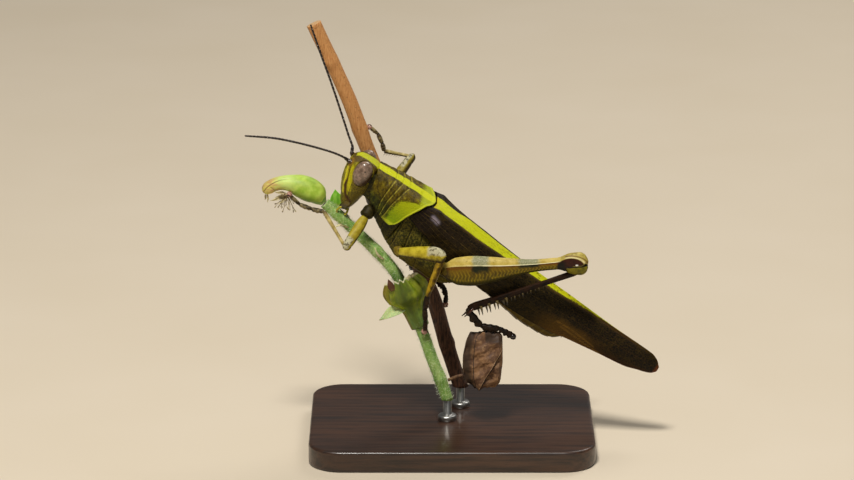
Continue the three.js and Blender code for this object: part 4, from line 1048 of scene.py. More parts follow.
def line_distance(points, line):
    """How far each point lies from a broken line, and how far along the line that is."""
    line = np.array(line, float)
    best, where = np.full(points.shape[:-1], 1e9), np.zeros(points.shape[:-1])
    for k, (a, b) in enumerate(zip(line[:-1], line[1:])):
        share = np.clip((points - a) @ (b - a) / np.dot(b - a, b - a), 0, 1)
        gap = np.linalg.norm(points - a - share[..., None] * (b - a), axis=-1)
        where = np.where(gap < best, (k + share) / (len(line) - 1), where)
        best = np.minimum(best, gap)
    return best, where


def stacked_rings(rows, squareness, levels, around):
    """Level rounded rings through [height, front, back, half] rows."""
    place = np.arange(len(rows))
    height, front, back, half = (smooth(list(zip(place, column)), levels)[:, None]
                                 for column in np.array(rows).T)
    turn = circle(around)[None]
    pull = 2 / squareness
    ahead, aside = (np.sign(f) * np.abs(f) ** pull for f in (np.cos(turn), np.sin(turn)))
    x = (front + back) / 2 + (back - front) / 2 * ahead
    return np.stack([x, half * aside, np.broadcast_to(height, x.shape)], -1)


def eye_space(points):
    """How many eye radii each point of the right half is from the eye's middle."""
    lean = radians(EYE_TILT)
    x, y, z = np.moveaxis(points - EYE_CENTRE, -1, 0)
    turned = np.stack([x * np.cos(lean) - z * np.sin(lean), y, x * np.sin(lean) + z * np.cos(lean)], -1)
    return turned / EYE_RADII


def head_cuticle():
    shell = Finish("head_cuticle")
    cloud = shell.noise(0.6, 4.0, 0.6)
    fine = shell.noise(4.0, 4.0, 0.6)
    pits = shell.cells(4.5)
    blur = shell.times(shell.plus(cloud, -0.5), 0.7)

    def soft(name, edge, width):
        """Whether a place lies within a marking, with a frayed edge."""
        return shell.step(shell.plus(shell.field(name), blur), edge - width, edge + width, 1.0, 0.0)

    shell.colour = shell.mix(shell.step(cloud, 0.38, 0.62), 0x7A6E08, 0xA89E14)
    cheek = shell.mix(shell.step(fine, 0.4, 0.64), 0x463C08, 0x7E701A)
    shell.lay(cheek, soft("cheek", 0.0, 0.7))
    shell.lay(0x54420E, soft("crown_side", 0.0, 0.35))
    shell.lay(0xB6B904, soft("crown", -0.1, 0.16))
    shell.lay(0xBDB40C, soft("cheek_band", 0.42, 0.16))
    shell.lay(0xCEC32A, soft("face_line", 0.3, 0.12))
    shell.lay(0x4A2E0C, soft("face_stripe", 0.14, 0.12))
    shell.lay(0x7E5E18, soft("brow", 0.0, 0.3))
    muzzle = shell.mix(shell.step(fine, 0.42, 0.6), 0x8A7A1C, 0x54400E)
    shell.lay(muzzle, soft("muzzle", 0.0, 0.45))
    shell.fade(0x3A2C08, fine, 0.57, 0.68, 0.0, 0.45)
    shell.fade(0x5E5014, shell.field("rim"), 0.3, 0.95, 0.0, 0.3)
    shell.fade(0x1A1306, shell.field("suture"), 0.35, 0.95)
    relief = shell.bump(pits, 0.08, shell.bump(fine, 0.1))
    return shell.done((fine, 0.36, 0.52), relief, Specular_IOR_Level=0.24)


levels = np.concatenate([np.linspace(0, 2, 40, endpoint=False), np.linspace(2, 11, 150)])
head = stacked_rings(HEAD_ROWS, HEAD_SQUARENESS, levels, 240)
half_head = np.abs(head * (0, 1, 0)) + head * (1, 0, 1)
x, y, z = np.moveaxis(half_head, -1, 0)
from_stripe, stripe_way = line_distance(half_head, FACE_STRIPE)
from_line, _ = line_distance(half_head, FACE_LINE)
from_band, _ = line_distance(half_head, CHEEK_BAND)
from_seam, _ = line_distance(half_head, CHEEK_SEAM)
from_root = np.linalg.norm(half_head - FEELER_ROOT, axis=-1)
eye_far = np.linalg.norm(eye_space(half_head), axis=-1)
on_face = np.clip((-x - 3.2) / 1.2, 0, 1)
forehead = on_face * np.clip((-1.4 - z) / 0.8, 0, 1) * np.clip((z + 9.4) / 0.8, 0, 1)
ridge_half = smooth([(-9.5, 1.2), (-6, 0.85), (-3, 0.7), (-1.5, 0.55)], z)
forehead_ridge = forehead * ridge(y - ridge_half, 0.16)
forehead_furrow = forehead * ridge(y, 0.5) * np.clip((z + 7.5) / 1.5, 0, 1)
brow_rim = ridge(y - 0.55, 0.14) * np.clip((-4.6 - x) / 0.5, 0, 1) * (z > -1.6)
mouth_seam = ridge(z + 9.35 + 0.1 * np.abs(y), 0.09) * on_face
neck_seam = ridge(x + 1.0 - 0.08 * (z + 4), 0.12) * (z < -0.5)
eye_rim = ridge(eye_far - 1.13, 0.05)
suture = np.clip(ridge(from_seam, 0.1) + mouth_seam + 0.6 * neck_seam, 0, 1)
lift = 0.1 * forehead_ridge - 0.07 * forehead_furrow + 0.07 * brow_rim + 0.1 * eye_rim
lift = lift + 0.12 * ridge(from_line - 0.12, 0.2) - 0.1 * ridge(from_stripe, 0.3) - 0.09 * suture
lift = lift + 0.16 * ridge(from_root - 0.62, 0.13) - 0.2 * ridge(from_root, 0.4)
lift = lift - 1.1 * np.clip((1.07 - eye_far) / 0.3, 0, 1)
head = raised(head, lift)
crown_half = smooth([(-6.6, 0.55), (-5.6, 0.95), (-4.5, 1.3), (-1, 1.6), (1, 1.9)], x)
marks = {
    "crown": np.maximum(y - crown_half, -0.95 - z),
    "crown_side": np.maximum(-1.5 - z, y - 2.6), "brow": np.maximum(from_root - 1.0, -3.2 - z),
    "cheek": np.maximum(-3.9 - 0.35 * (z + 5) - x, z + 3.6), "cheek_band": from_band, "face_line": from_line,
    "face_stripe": from_stripe - 0.4 * stripe_way**2, "muzzle": np.maximum(z + 8.9 + 0.4 * (x + 4), 1.2 - y),
    "rim": eye_rim, "suture": suture}
insect_piece("head_capsule", skin(head), head_cuticle(), "head_shell", ["head"],
             **marks)


def dark_horn(name, root, tip):
    """Hard dark shell, lighter towards its root."""
    horn = Finish(name)
    streak = horn.noise(3.0, 3.0)
    reach = horn.plus(horn.field("reach"), horn.times(streak, 0.2))
    horn.colour = horn.mix(horn.step(reach, 0.2, 0.85), root, tip)
    return horn.done((streak, 0.22, 0.4), horn.bump(streak, 0.03), Coat_Weight=0.3)


def ball(centre, radii, around=48, rows=32, lean=0.0):
    """Rings of an oval ball from one pole to the other, tipped nose down by some degrees."""
    polar = np.linspace(0.001, np.pi - 0.001, rows)[:, None]
    turn = circle(around)[None]
    shape = np.stack([np.sin(polar) * np.cos(turn), np.sin(polar) * np.sin(turn),
                      np.cos(polar) + 0 * turn], -1) * radii
    tip = np.array(Matrix.Rotation(radians(lean), 3, "Y"))
    return shape @ tip.T + centre


ocellus_finish = dark_horn("ocellus_glass", 0xB99A3C, 0xD8C070)
OCELLI = {"left": (-6.0, -0.95, -1.35), "right": (-6.0, 0.95, -1.35), "middle": (-6.62, 0, -3.5)}
for name, place in OCELLI.items():
    glass = ball(np.array(place), (0.2, 0.17, 0.2), 20, 12)
    insect_piece(f"ocellus_{name}", skin(glass), ocellus_finish, "head_shell", reach=1)

# ---------------------------------------------------------------------------------------------
# Eyes. Tall ovals of thousands of tiny lenses under one clear gloss, mauve grey and mottled,
# with painted shade low down behind, and the small black spot where the lenses look straight out.


def lens_field():
    eye = Finish("lens_field")
    lenses = eye.cells(11.0)
    mottle = eye.noise(1.3, 4.0, 0.7)
    fleck = eye.noise(5.0, 2.0, 0.6)
    eye.colour = eye.mix(eye.step(mottle, 0.38, 0.62), 0x645042, 0x937A68)
    eye.fade(0x44332A, fleck, 0.52, 0.64, 0.0, 0.4)
    eye.fade(0x2A1810, eye.field("shade"), 0.05, 0.6, 0.0, 0.85)
    eye.fade(0x080606, eye.field("spot"), 0.35, 0.65)
    return eye.done(0.3, eye.bump(lenses, -0.012), Coat_Weight=0.8, Coat_Roughness=0.06,
                    Specular_IOR_Level=0.3)


lens_finish = lens_field()
SPOT = np.array([-3.0, 4.35, -1.25])
for name, side in SIDES:
    eye = ball(EYE_CENTRE, EYE_RADII, 120, 80, EYE_TILT)
    x, y, z = np.moveaxis(eye_space(eye), -1, 0)
    shade = np.clip(0.75 * x - 0.55 * z - 0.05, 0, 1)
    spot = ridge(np.linalg.norm(eye - SPOT, axis=-1), 0.2)
    insect_piece(f"compound_eye_{name}", skin(eye * (1, side, 1)), lens_finish, "compound_eye",
                 [f"eye_{name}"], shade=shade, spot=spot)

# ---------------------------------------------------------------------------------------------
# Mouth. An upper lip hangs in front of two dark toothed jaws, and two pairs of jointed feelers,
# the palps, hang beside the lower lip.

# [height, front, back, half width]
MOUTH_ROWS = [(-10.3, -3.4, -0.7, 2.1), (-11.1, -3.15, -0.5, 2.15), (-11.9, -2.5, -0.45, 1.85),
              (-12.5, -1.9, -0.5, 1.35), (-12.85, -1.35, -0.6, 0.75)]


def mouth_cuticle():
    lip = Finish("mouth_cuticle")
    cloud = lip.noise(0.9, 3.0)
    fine = lip.noise(4.0, 3.0)
    lip.colour = lip.mottled(cloud, 0x5C500E, 0x8E8220)
    lip.lay(0xAEA42C, lip.field("pale"))
    lip.fade(0x3A2A0A, lip.field("reach"), 0.88, 1.0)
    return lip.done((fine, 0.32, 0.48), lip.bump(fine, 0.05), Coat_Weight=0.1, Specular_IOR_Level=0.3)


lip_finish = mouth_cuticle()
mouth = stacked_rings(MOUTH_ROWS, HEAD_SQUARENESS, np.linspace(0, 4, 60), 80)
insect_piece("lower_mouth", skin(raised(mouth, -0.12)), lip_finish, "mouth_shell",
             ["mouthparts"], reach=np.linspace(0, 1, 60)[:, None], pale=0)

t, v = np.linspace(0, 1, 40)[:, None], np.linspace(-1, 1, 50)[None]
lip_half = smooth([(0, 1.5), (0.35, 1.75), (0.75, 1.45), (1, 0.7)], t)
lip_x = smooth([(0, -4.1), (0.35, -3.75), (0.75, -2.95), (1, -2.2)], t) + 0.55 * np.abs(v) ** 2.5
lip_x = lip_x - 0.12 * ridge(v, 0.12) * t + 0.08 * ridge(t - 0.36, 0.03)
lip_z = -9.7 - 2.75 * t + 0.25 * ridge(v, 0.1) * t**6
lip = np.stack([lip_x, lip_half * v, lip_z + 0 * v], -1)
insect_piece("upper_lip", skin(sheet(lip, lip + (0.35, 0, 0.1)), "fold"), lip_finish, "mouth_shell",
             reach=t + 0 * v, pale=0.7 - 0.7 * t + 0 * v)

JAW = [(-1.6, 2.35, -9.6), (-1.9, 2.3, -10.8), (-2.2, 1.75, -11.9), (-2.35, 0.95, -12.35)]
PALPS = [("upper_palp", [(-1.9, 2.0, -11.2), (-2.5, 2.45, -12.0), (-2.75, 2.5, -12.9),
                         (-2.3, 2.2, -13.6)], 4),
         ("lower_palp", [(-0.9, 1.4, -11.7), (-0.7, 2.0, -12.4), (-0.8, 2.2, -13.2)], 3)]
jaw_finish = dark_horn("jaw_horn", 0x5C4C12, 0x0E0805)
for name, side in SIDES:
    line = way(np.array(JAW) * (1, side, 1), 40)
    thick = smooth([(0, 0.5), (0.3, 0.95), (0.7, 0.75), (1, 0.25)], np.linspace(0, 1, 40))[:, None]
    jaw = ringed(line, (1, 0, 0), 0.42 * thick / 0.6, thick, around=30)
    insect_piece(f"jaw_{name}", skin(jaw), jaw_finish, "mouth_shell",
                 reach=np.linspace(0, 1, 40)[:, None])
    for palp, places, joints in PALPS:
        t = np.linspace(0, 1, 60)
        beads = np.abs(np.sin(np.pi * joints * t)) ** 0.35
        line = way(np.array(places) * (1, side, 1), 60)
        size = (0.26 - 0.04 * t) * (0.62 + 0.38 * beads) * (1 - 0.75 * np.clip(t * 14 - 13, 0, 1))
        bead = ringed(line, (1, 0, 0), size[:, None], around=16)
        insect_piece(f"{palp}_{name}", skin(bead), lip_finish, "mouth_shell", reach=0.4 * beads[:, None],
                     pale=beads[:, None])

# ---------------------------------------------------------------------------------------------
# Feelers. Each is a thick root joint, a short second joint and a thread of some thirty barrels,
# jointed by thin skin, near black and a little paler where the barrels meet.

FEELERS = {
    "left": [(-6.7, -1.3, -2.5), (-7.8, -1.8, -2.2), (-10.2, -3, -2), (-13.5, -4.8, -2.1), (-17.9, -7, -2.6),
             (-23, -9.6, -3.5), (-28.6, -12.4, -5.4)],
    "right": [(-6.7, 1.3, -1.9), (-7.2, 1.9, -1.0), (-9.1, 2.9, 0.2), (-12.7, 4.2, 2.8), (-18.5, 6, 7),
              (-23.9, 7.6, 10.7), (-28.6, 9.1, 14)]}
BARRELS = 30
barrel = small_shape("barrel", [(0.0, 0.7, 0.7), (0.06, 0.93, 0.93), (0.3, 1.0, 1.0), (0.8, 1.0, 1.0),
                                (0.95, 0.93, 0.93), (1.02, 0.6, 0.6)], 10)
keep_fields(barrel.data, {"reach": np.append(np.repeat([0.0, 0.35, 1, 1, 0.35, 0.0], 10), [0.0, 0.0])})
feeler_finish = dark_horn("feeler_horn", 0x4A3420, 0x150D09)
for name, places in FEELERS.items():
    line = way(places, 10 * BARRELS + 1)[12:]
    t = np.linspace(0, 1, len(line))
    stops = np.linspace(0, len(line) - 1, BARRELS + 1).astype(int)
    step = np.diff(line[stops], axis=0)
    length = np.linalg.norm(step, axis=1)
    thick = smooth([(0, 0.27), (0.06, 0.24), (0.75, 0.24), (1, 0.18)], t[stops[:-1]])
    planted(f"feeler_thread_{name}", barrel, in_place(line[stops[:-1]]), step @ POSE.T,
            np.column_stack([thick, thick, length]), feeler_finish, seed=7)
    side = np.sign(places[-1][1])
    root = way([np.array(FEELER_ROOT) * (1, side, 1) + (0.35, 0, 0), places[0], line[4]], 40)
    t = np.linspace(0, 1, 40)
    girth = smooth([(0, 0.5), (0.3, 0.5), (0.52, 0.42), (0.58, 0.3), (0.64, 0.36), (0.85, 0.36), (0.9, 0.26),
                    (1, 0.2)], t)
    joint = ringed(root, (0, 0, 1), girth[:, None], around=24)
    insect_piece(f"feeler_root_{name}", skin(joint), feeler_finish, "antenna", [f"antenna_{name}"],
                       reach=0.25 + 0.5 * t[:, None])

# ---------------------------------------------------------------------------------------------
# Pronotum. One saddle-shaped shell over the neck, crossed by three grooves and wrinkled in front
# of the last, finely pitted behind it, and rimmed with a raised welt. A band runs down its back.

PRONOTUM_FRONT = [(0, 0), (0.35, 0.1), (0.7, 0.7), (0.92, 1.8), (1, 2.9)]
PRONOTUM_REAR = [(0, 13.4), (0.12, 13.1), (0.35, 11.9), (0.7, 9.7), (0.92, 8.6), (1, 7.4)]
GROOVES = [0.26, 0.39, 0.52]         # as parts of its length
BROWN_REACH = [(-8, 6.15), (-6.5, 6.0), (-4.6, 5.9), (-2.2, 6.6), (-1.2, 8.0), (-0.5, 9.9)]


def saddle(u, v, inset=0.0):
    """Its right half: u runs from front to rear, v from the middle of the back to the lower edge."""
    u, v = np.broadcast_arrays(u, v)
    dips = np.max([ridge(u - at, 0.014) for at in GROOVES], axis=0)
    dips = dips * np.clip(v * 6 - 0.1, 0.35, 1)
    inwards = inset + 0.15 * dips
    disc_half = smooth([(0, 2.9), (1, 4.3)], u)
    side_half = smooth([(0, 4.15), (0.5, 4.96), (1, 5.5)], u)
    top = smooth([(0, 0), (0.4, 0.12), (1, -0.1)], u)
    disc_height = top + smooth([(0, -0.42), (1, 0.12)], u)
    lower = smooth([(0, -6.9), (0.25, -7.4), (0.7, -8.05), (1, -8.15)], u)
    y = smooth([(0, 0), (0.36, disc_half), (0.52, side_half - 0.25), (0.7, side_half),
                (1, side_half - 0.35)], v)
    z = smooth([(0, top), (0.36, disc_height), (0.52, -1.5), (0.7, -3.7), (1, lower)], v)
    level = smooth([(0, 1), (0.34, 0.95), (0.5, 0.4), (0.66, 0), (1, 0)], v)
    x = smooth(PRONOTUM_FRONT, v) * (1 - u) + smooth(PRONOTUM_REAR, v) * u
    return np.stack([x, np.maximum(y - inwards * (1 - level), 0), z - inwards * level], -1)


def saddle_cuticle():
    shell = Finish("saddle_cuticle")
    z = shell.own(2)
    cloud = shell.noise(0.7, 4.0, 0.62)
    sloping = shell.stretched((1.0, 0.45, 0.45), turned=(0, radians(SLOPE), 0))
    wrinkle = shell.noise(1.3, 4.0, 0.7, sloping)
    fine = shell.noise(4.5, 3.0, 0.6)
    pits = shell.cells(3.4)
    blur = shell.times(shell.plus(cloud, -0.5), 1.6)
    down = shell.plus(z, blur)
    lobe = shell.mix(shell.step(down, -7.2, -2.0), 0x7E9802, 0xA0AA04)
    lobe = shell.mix(shell.step(pits, 0.12, 0.34, 0.4, 0.0), lobe, 0x6A7C08)
    shell.colour = shell.mix(shell.step(wrinkle, 0.38, 0.6), 0x382E04, 0x645408)
    shell.fade(0x928A1C, wrinkle, 0.58, 0.7, 0.0, 0.7)
    shell.fade(shell.mix(shell.step(wrinkle, 0.4, 0.64), 0x22270A, 0x464A0E), down, -5.4, -2.6, 1.0, 0.0)
    frayed = shell.plus(shell.field("behind"), blur)
    speckled = shell.plus(frayed, shell.times(shell.plus(fine, -0.5), 2.2))
    shell.fade(lobe, speckled, -0.5, 0.7)
    off_band = shell.plus(shell.field("off_band"), shell.times(blur, 0.16))
    shell.fade(0xC8CC04, off_band, -0.14, 0.14, 1.0, 0.0)
    shell.fade(0x958C0A, fine, 0.58, 0.7, 0.0, 0.4)
    broken = shell.times(shell.field("groove_lip"), shell.step(wrinkle, 0.36, 0.6, 0.1, 0.75))
    shell.lay(0xC0B43E, broken)
    shell.lay(0x332C08, shell.times(shell.field("groove"), 0.6))
    # Painted highlight: the raised welt on the rear edge and the rear half of the lower edge is laid pale;
    # painted shade: a dark line along the very edge below it.
    shell.lay(0xC4CA28, shell.times(shell.field("welt"), 0.6))
    shell.fade(0x2A2208, shell.field("hem"), 0.4, 0.9)
    relief = shell.bump(shell.times(wrinkle, shell.step(frayed, -0.4, 0.4, 1.0, 0.15)), 0.28)
    relief = shell.bump(pits, 0.09, shell.bump(fine, 0.06, relief))
    return shell.done((fine, 0.38, 0.56), relief, Specular_IOR_Level=0.17)


u = np.linspace(-0.06, 1, 165)[:, None]
v = np.linspace(-1, 1, 211)[None]
mirror = np.where(v < 0, -1, 1)[..., None] * (0, 1, 0) + (1, 0, 1)
outer, inner = (saddle(u, np.abs(v), inset) * mirror for inset in (0.0, SHELL - 0.08))
back, aside, high = outer[..., 0], np.abs(outer[..., 1]), outer[..., 2]
edge_near = np.minimum((1 - u) * 11, (1 - np.abs(v)) * 9)
welt = ridge(edge_near - 0.25, 0.22)
ripple = np.sin(3.1 * back + 1.2 * np.sin(1.9 * high) + 0.9 * np.cos(2.3 * aside))
wrinkled = np.clip((smooth(BROWN_REACH, high) - back) / 0.6, 0, 1) * np.clip((aside - 2.1) / 0.5, 0, 1)
swell = (0.09 * welt + 0.045 * ripple * wrinkled + 0.06 * ridge(v, 0.012))[..., None]
facing = saddle(u, np.abs(v), -0.5) * mirror - outer
outer = outer + unit(facing) * swell
groove = np.max([ridge(u - at, 0.012) for at in GROOVES], axis=0) + 0 * v
lip = np.max([ridge(u - at - 0.022, 0.008) for at in GROOVES], axis=0) * np.clip(np.abs(v) * 9 - 1, 0, 1)
saddle_fields = {
    "behind": outer[..., 0] - smooth(BROWN_REACH, outer[..., 2]),
    "off_band": np.abs(outer[..., 1]) - 1.4 - 0.1 * np.sin(1.3 * outer[..., 0]),
    "groove": groove * np.clip(np.abs(v) * 6 - 0.1, 0.25, 1), "groove_lip": lip,
    "welt": np.clip(welt * (u - 0.45) * 4, 0, 1),
    "hem": ridge(edge_near, 0.1)}
insect_piece("saddle_shell", skin(sheet(outer, inner), "fold"), saddle_cuticle(), "pronotum_shell",
             ["pronotum"], **saddle_fields)

# ---------------------------------------------------------------------------------------------
# Hind wings. Thin fans, folded like paper into a stack of pleats under the fore wings, whose
# ribs stiffen the folds.


def pleated_skin():
    fan = Finish("pleated_skin")
    fine = fan.noise(2.5, 3.0)
    fan.colour = fan.mottled(fine, 0x4A3420, 0x6E5232)
    fan.fade(0x2A1A10, fan.field("rib"), 0.4, 0.95)
    return fan.done(0.45, fan.bump(fine, 0.03), Sheen_Weight=0.2)


PLEATS = 9
pleated = pleated_skin()
t, v = np.linspace(0, 0.86, 60)[:, None], np.linspace(0.2, 0.95, 120)[None]
rib = np.cos(2 * np.pi * PLEATS * (v - 0.2) / 0.75) + 0 * t
for name, side in SIDES:
    fan_x = 28 + t * (WING_TIP - 28)
    over, beneath = (under_roof(fan_x, v, 0.85 + 0.1 * rib * np.clip(t * 5, 0.3, 1) + more) * (1, side, 1)
                     for more in (0.0, 0.14))
    insect_piece(f"pleated_wing_{name}", skin(sheet(over, beneath), "fold"), pleated, "hindwing",
                 [f"hindwing_{name}"], rib=rib)

# ---------------------------------------------------------------------------------------------
# Fore wings. Long leathery covers that lie over the back like a roof, the left one's inner edge
# over the right's. Raised veins fan out from the shoulder with a fine net of cross veins between.

WING_START = [(0, 13.8), (0.3, 12.95), (0.55, 11.3), (0.8, 10.5), (1, 10.4)]
BAND_REACH = [(12, 3.1), (15, 3.0), (18, 2.9), (25, 2.85), (30, 2.2), (38.8, 1.55), (43.7, 1.3), (48, 0.9),
              (54, 0.35), (62, 0.0), (70, -0.3)]
OVERLAP = [(12, 0.21), (16, 0.125), (19, 0.09), (22, 0.14), (30, 0.12), (50, 0.1), (WING_TIP, 0.03)]
PALE_STREAKS = [
    [(48.6, 3.4, -6.4), (51.5, 3.2, -6.4), (55, 2.8, -6.8), (58.6, 2.5, -7.4)],
    [(50.1, 3.3, -7.0), (55.1, 2.7, -7.7), (61.0, 2.1, -8.1)]]
# A painted sheen, pale lilac grey, on the curve of each wing's shoulder.
LILAC_SHEEN_PATCH = [(14.2, 4.8, -1.3), (14.9, 4.9, -1.45), (15.4, 4.95, -1.6)]


def leathery_skin():
    wing = Finish("leathery_skin")
    x = wing.own(0)
    cloud = wing.noise(0.35, 4.0, 0.62)
    fine = wing.noise(3.2, 3.0, 0.6)
    own = wing.add("ShaderNodeAttribute", attribute_name="own").outputs["Vector"]
    spun = wing.stretched((0.55, 1.0, 1.0), own)
    net = wing.cells(2.6 * MM, "DISTANCE_TO_EDGE", spun)
    cell = wing.add("ShaderNodeTexVoronoi", {"Vector": spun, "Scale": 2.6}).outputs[1]
    shade = wing.add("ShaderNodeSeparateColor", {0: cell}).outputs[0]
    blur = wing.times(wing.plus(cloud, -0.5), 6.0)
    place = wing.plus(x, blur)
    wing.colour = wing.mix(wing.step(place, 12.0, 20.0), 0x1A1110, 0x1E1406)
    wing.fade(0x1C1706, place, 22.0, 38.0)
    wing.fade(0x0C0702, place, 42.0, 54.0)
    wing.fade(0x362A04, cloud, 0.5, 0.68, 0.0, 0.5)
    wing.fade(0x060401, shade, 0.35, 0.85, 0.0, 0.7)
    mesh_share = wing.times(wing.step(net, 0.02, 0.09, 0.55, 0.0), wing.step(x, 16.0, 44.0, 0.3, 0.9))
    wing.lay(0x44340A, mesh_share)
    low = wing.plus(wing.field("hem"), wing.times(cloud, 0.3))
    wing.lay(0x331A06, wing.times(wing.step(low, 0.95, 1.2, 0.0, 0.7), wing.step(x, 44.0, 54.0)))
    grain = wing.noise(1.6, 3.0, 0.6, wing.stretched((0.1, 1, 1), spun))
    gilded = wing.times(wing.times(wing.step(low, 0.72, 0.95), wing.band(x, 46.0, 58.0, 4.0)),
                       wing.step(grain, 0.45, 0.6, 0.15, 0.8))
    wing.lay(0x74541C, gilded)
    wing.fade(0x6A3412, wing.field("rim"), 0.4, 0.95, 0.0, 0.75)
    streak = wing.times(wing.step(wing.field("streak"), 0.1, 0.9, 0.0, 0.75), wing.step(fine, 0.3, 0.6))
    wing.lay(0x765620, streak)
    # Painted sheen: pale lilac grey on the shoulder's curve.
    wing.fade(0xA79CAA, wing.field("lilac_sheen"), 0.0, 1.3, 0.0, 0.75)
    off_band = wing.plus(wing.field("off_band"), wing.times(blur, 0.04))
    wing.fade(0x4E3A0E, off_band, 0.1, 0.75, 0.75, 0.0)
    yellow = wing.mix(wing.step(place, 11.5, 15.0), 0xC0A010, 0xBCC104)
    yellow = wing.mix(wing.step(place, 56.0, 64.0), yellow, 0x8A6A1C)
    dots = wing.times(wing.step(shade, 0.55, 0.7), wing.step(net, 0.06, 0.16))
    ladder = wing.mix(wing.times(dots, wing.step(x, 24.0, 46.0, 0.2, 0.9)), yellow, 0x4A430A)
    wing.fade(ladder, off_band, -0.12, 0.12, 1.0, 0.0)
    relief = wing.bump(net, 0.07, wing.bump(fine, 0.07))
    return wing.done((fine, 0.44, 0.64), relief, Specular_IOR_Level=0.13)


def cover(t, v, side, depth=0.0):
    """A point on the outside of a fore wing; past the ridge (v below 0) the left lies over the right."""
    v = np.broadcast_to(v, np.broadcast(t, v).shape)
    start = smooth(WING_START, np.abs(v))
    x = start + (WING_TIP - start) * t
    bulge = 0.14 * np.clip(1 - v / 0.16, 0, 1) if side < 0 else -0.02
    place = under_roof(x, np.abs(v), depth - bulge, least=0.0 if side < 0 else 0.06)
    return place * np.stack([np.ones_like(v), np.where(v < 0, -side, side), np.ones_like(v)], -1)


def vein_tree():
    """Gives every line of a mesh a round body of the line's own thickness."""
    new = Recipe("veins", "Veins", Lines="Geometry", Finish="Material", Sides="Int")
    ring = new.add("CurvePrimitiveCircle", {"Resolution": new.given["Sides"], "Radius": 1.0})
    curve = new.add("MeshToCurve", {0: new.given["Lines"]})
    body = {"Curve": curve, "Profile Curve": ring, "Fill Caps": True,
            "Scale": new.add("InputNamedAttribute", {"Name": "thick"})}
    return new.done(new.add("SetShadeSmooth", {0: new.add("CurveToMesh", body)}))


def vein_horn():
    vein = Finish("vein_horn")
    x = vein.own(0)
    cloud = vein.noise(1.5, 3.0)
    vein.colour = vein.mottled(cloud, 0x221705, 0x4C3B10)
    vein.fade(0x361F08, x, 44.0, 54.0, 0.0, 0.8)
    vein.fade(0xAFA90C, vein.field("light"), 0.1, 0.9)
    return vein.done(0.5, vein.bump(cloud, 0.02), Specular_IOR_Level=0.16)


# (v at the shoulder, v at the end, how far along it runs, half thickness) of each long vein
LONG_VEINS = [(-0.05, -0.02, 0.93, 0.05), (0.1, 0.05, 0.86, 0.045), (0.22, 0.13, 0.93, 0.045),
              (0.33, 0.24, 0.97, 0.06), (0.42, 0.35, 0.985, 0.045), (0.48, 0.45, 0.985, 0.055),
              (0.56, 0.57, 0.985, 0.085), (0.62, 0.68, 0.975, 0.045), (0.7, 0.79, 0.96, 0.065),
              (0.8, 0.89, 0.94, 0.045), (0.94, 0.975, 0.88, 0.055)]
CROSS_SPACING = 0.78

vein_maker = vein_tree()
vein_finish = vein_horn()
wing_finish = leathery_skin()


def vein_path(vein, share):
    start, end, reach, _ = vein
    return share * reach, start + (end - start) * np.sqrt(share)


def wing_veins(name, side, seed):
    """The long veins, and cross veins between each two neighbours, as lines on the wing."""
    chance = np.random.default_rng(seed)
    strands = []
    veins = LONG_VEINS if side < 0 else LONG_VEINS[1:]
    for vein in veins:
        share = np.linspace(0.004, 1, 70)
        strands.append((*vein_path(vein, share), vein[3] * (1 - 0.6 * share)))
    for first, second in zip(veins[:-1], veins[1:]):
        for at in np.arange(1.2, 58, CROSS_SPACING):
            share = (at + chance.uniform(-0.2, 0.2)) / 60
            near, far = vein_path(first, share), vein_path(second, share + chance.uniform(-0.008, 0.008))
            if max(near[0], far[0]) < 0.97:
                step = np.linspace(0, 1, 4)
                jog = 0.004 * np.sin(np.pi * step) * chance.uniform(-1, 1)
                across = [near[k] + (far[k] - near[k]) * step for k in (0, 1)]
                strands.append((across[0] + jog, across[1], np.full(4, 0.032)))
    t, v, thick = (np.concatenate(column) for column in zip(*strands))
    lengths = [len(strand[0]) for strand in strands]
    ends = np.cumsum(lengths) - 1
    lines = np.setdiff1d(np.arange(len(t) - 1), ends)
    place = cover(t, v, side, 0.02)
    mesh = bpy.data.meshes.new(name)
    mesh.from_pydata((in_place(place) * MM).tolist(), np.column_stack([lines, lines + 1]).tolist(), [])
    light = (side < 0) * np.clip((smooth(BAND_REACH, place[:, 0]) - place[:, 1] * side) / 0.3, 0, 1)
    keep_fields(mesh, {"thick": thick * MM, "light": light, "own": place})
    obj = grown(name, mesh, vein_maker, {"Finish": vein_finish, "Sides": 5})
    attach(obj, BODY)


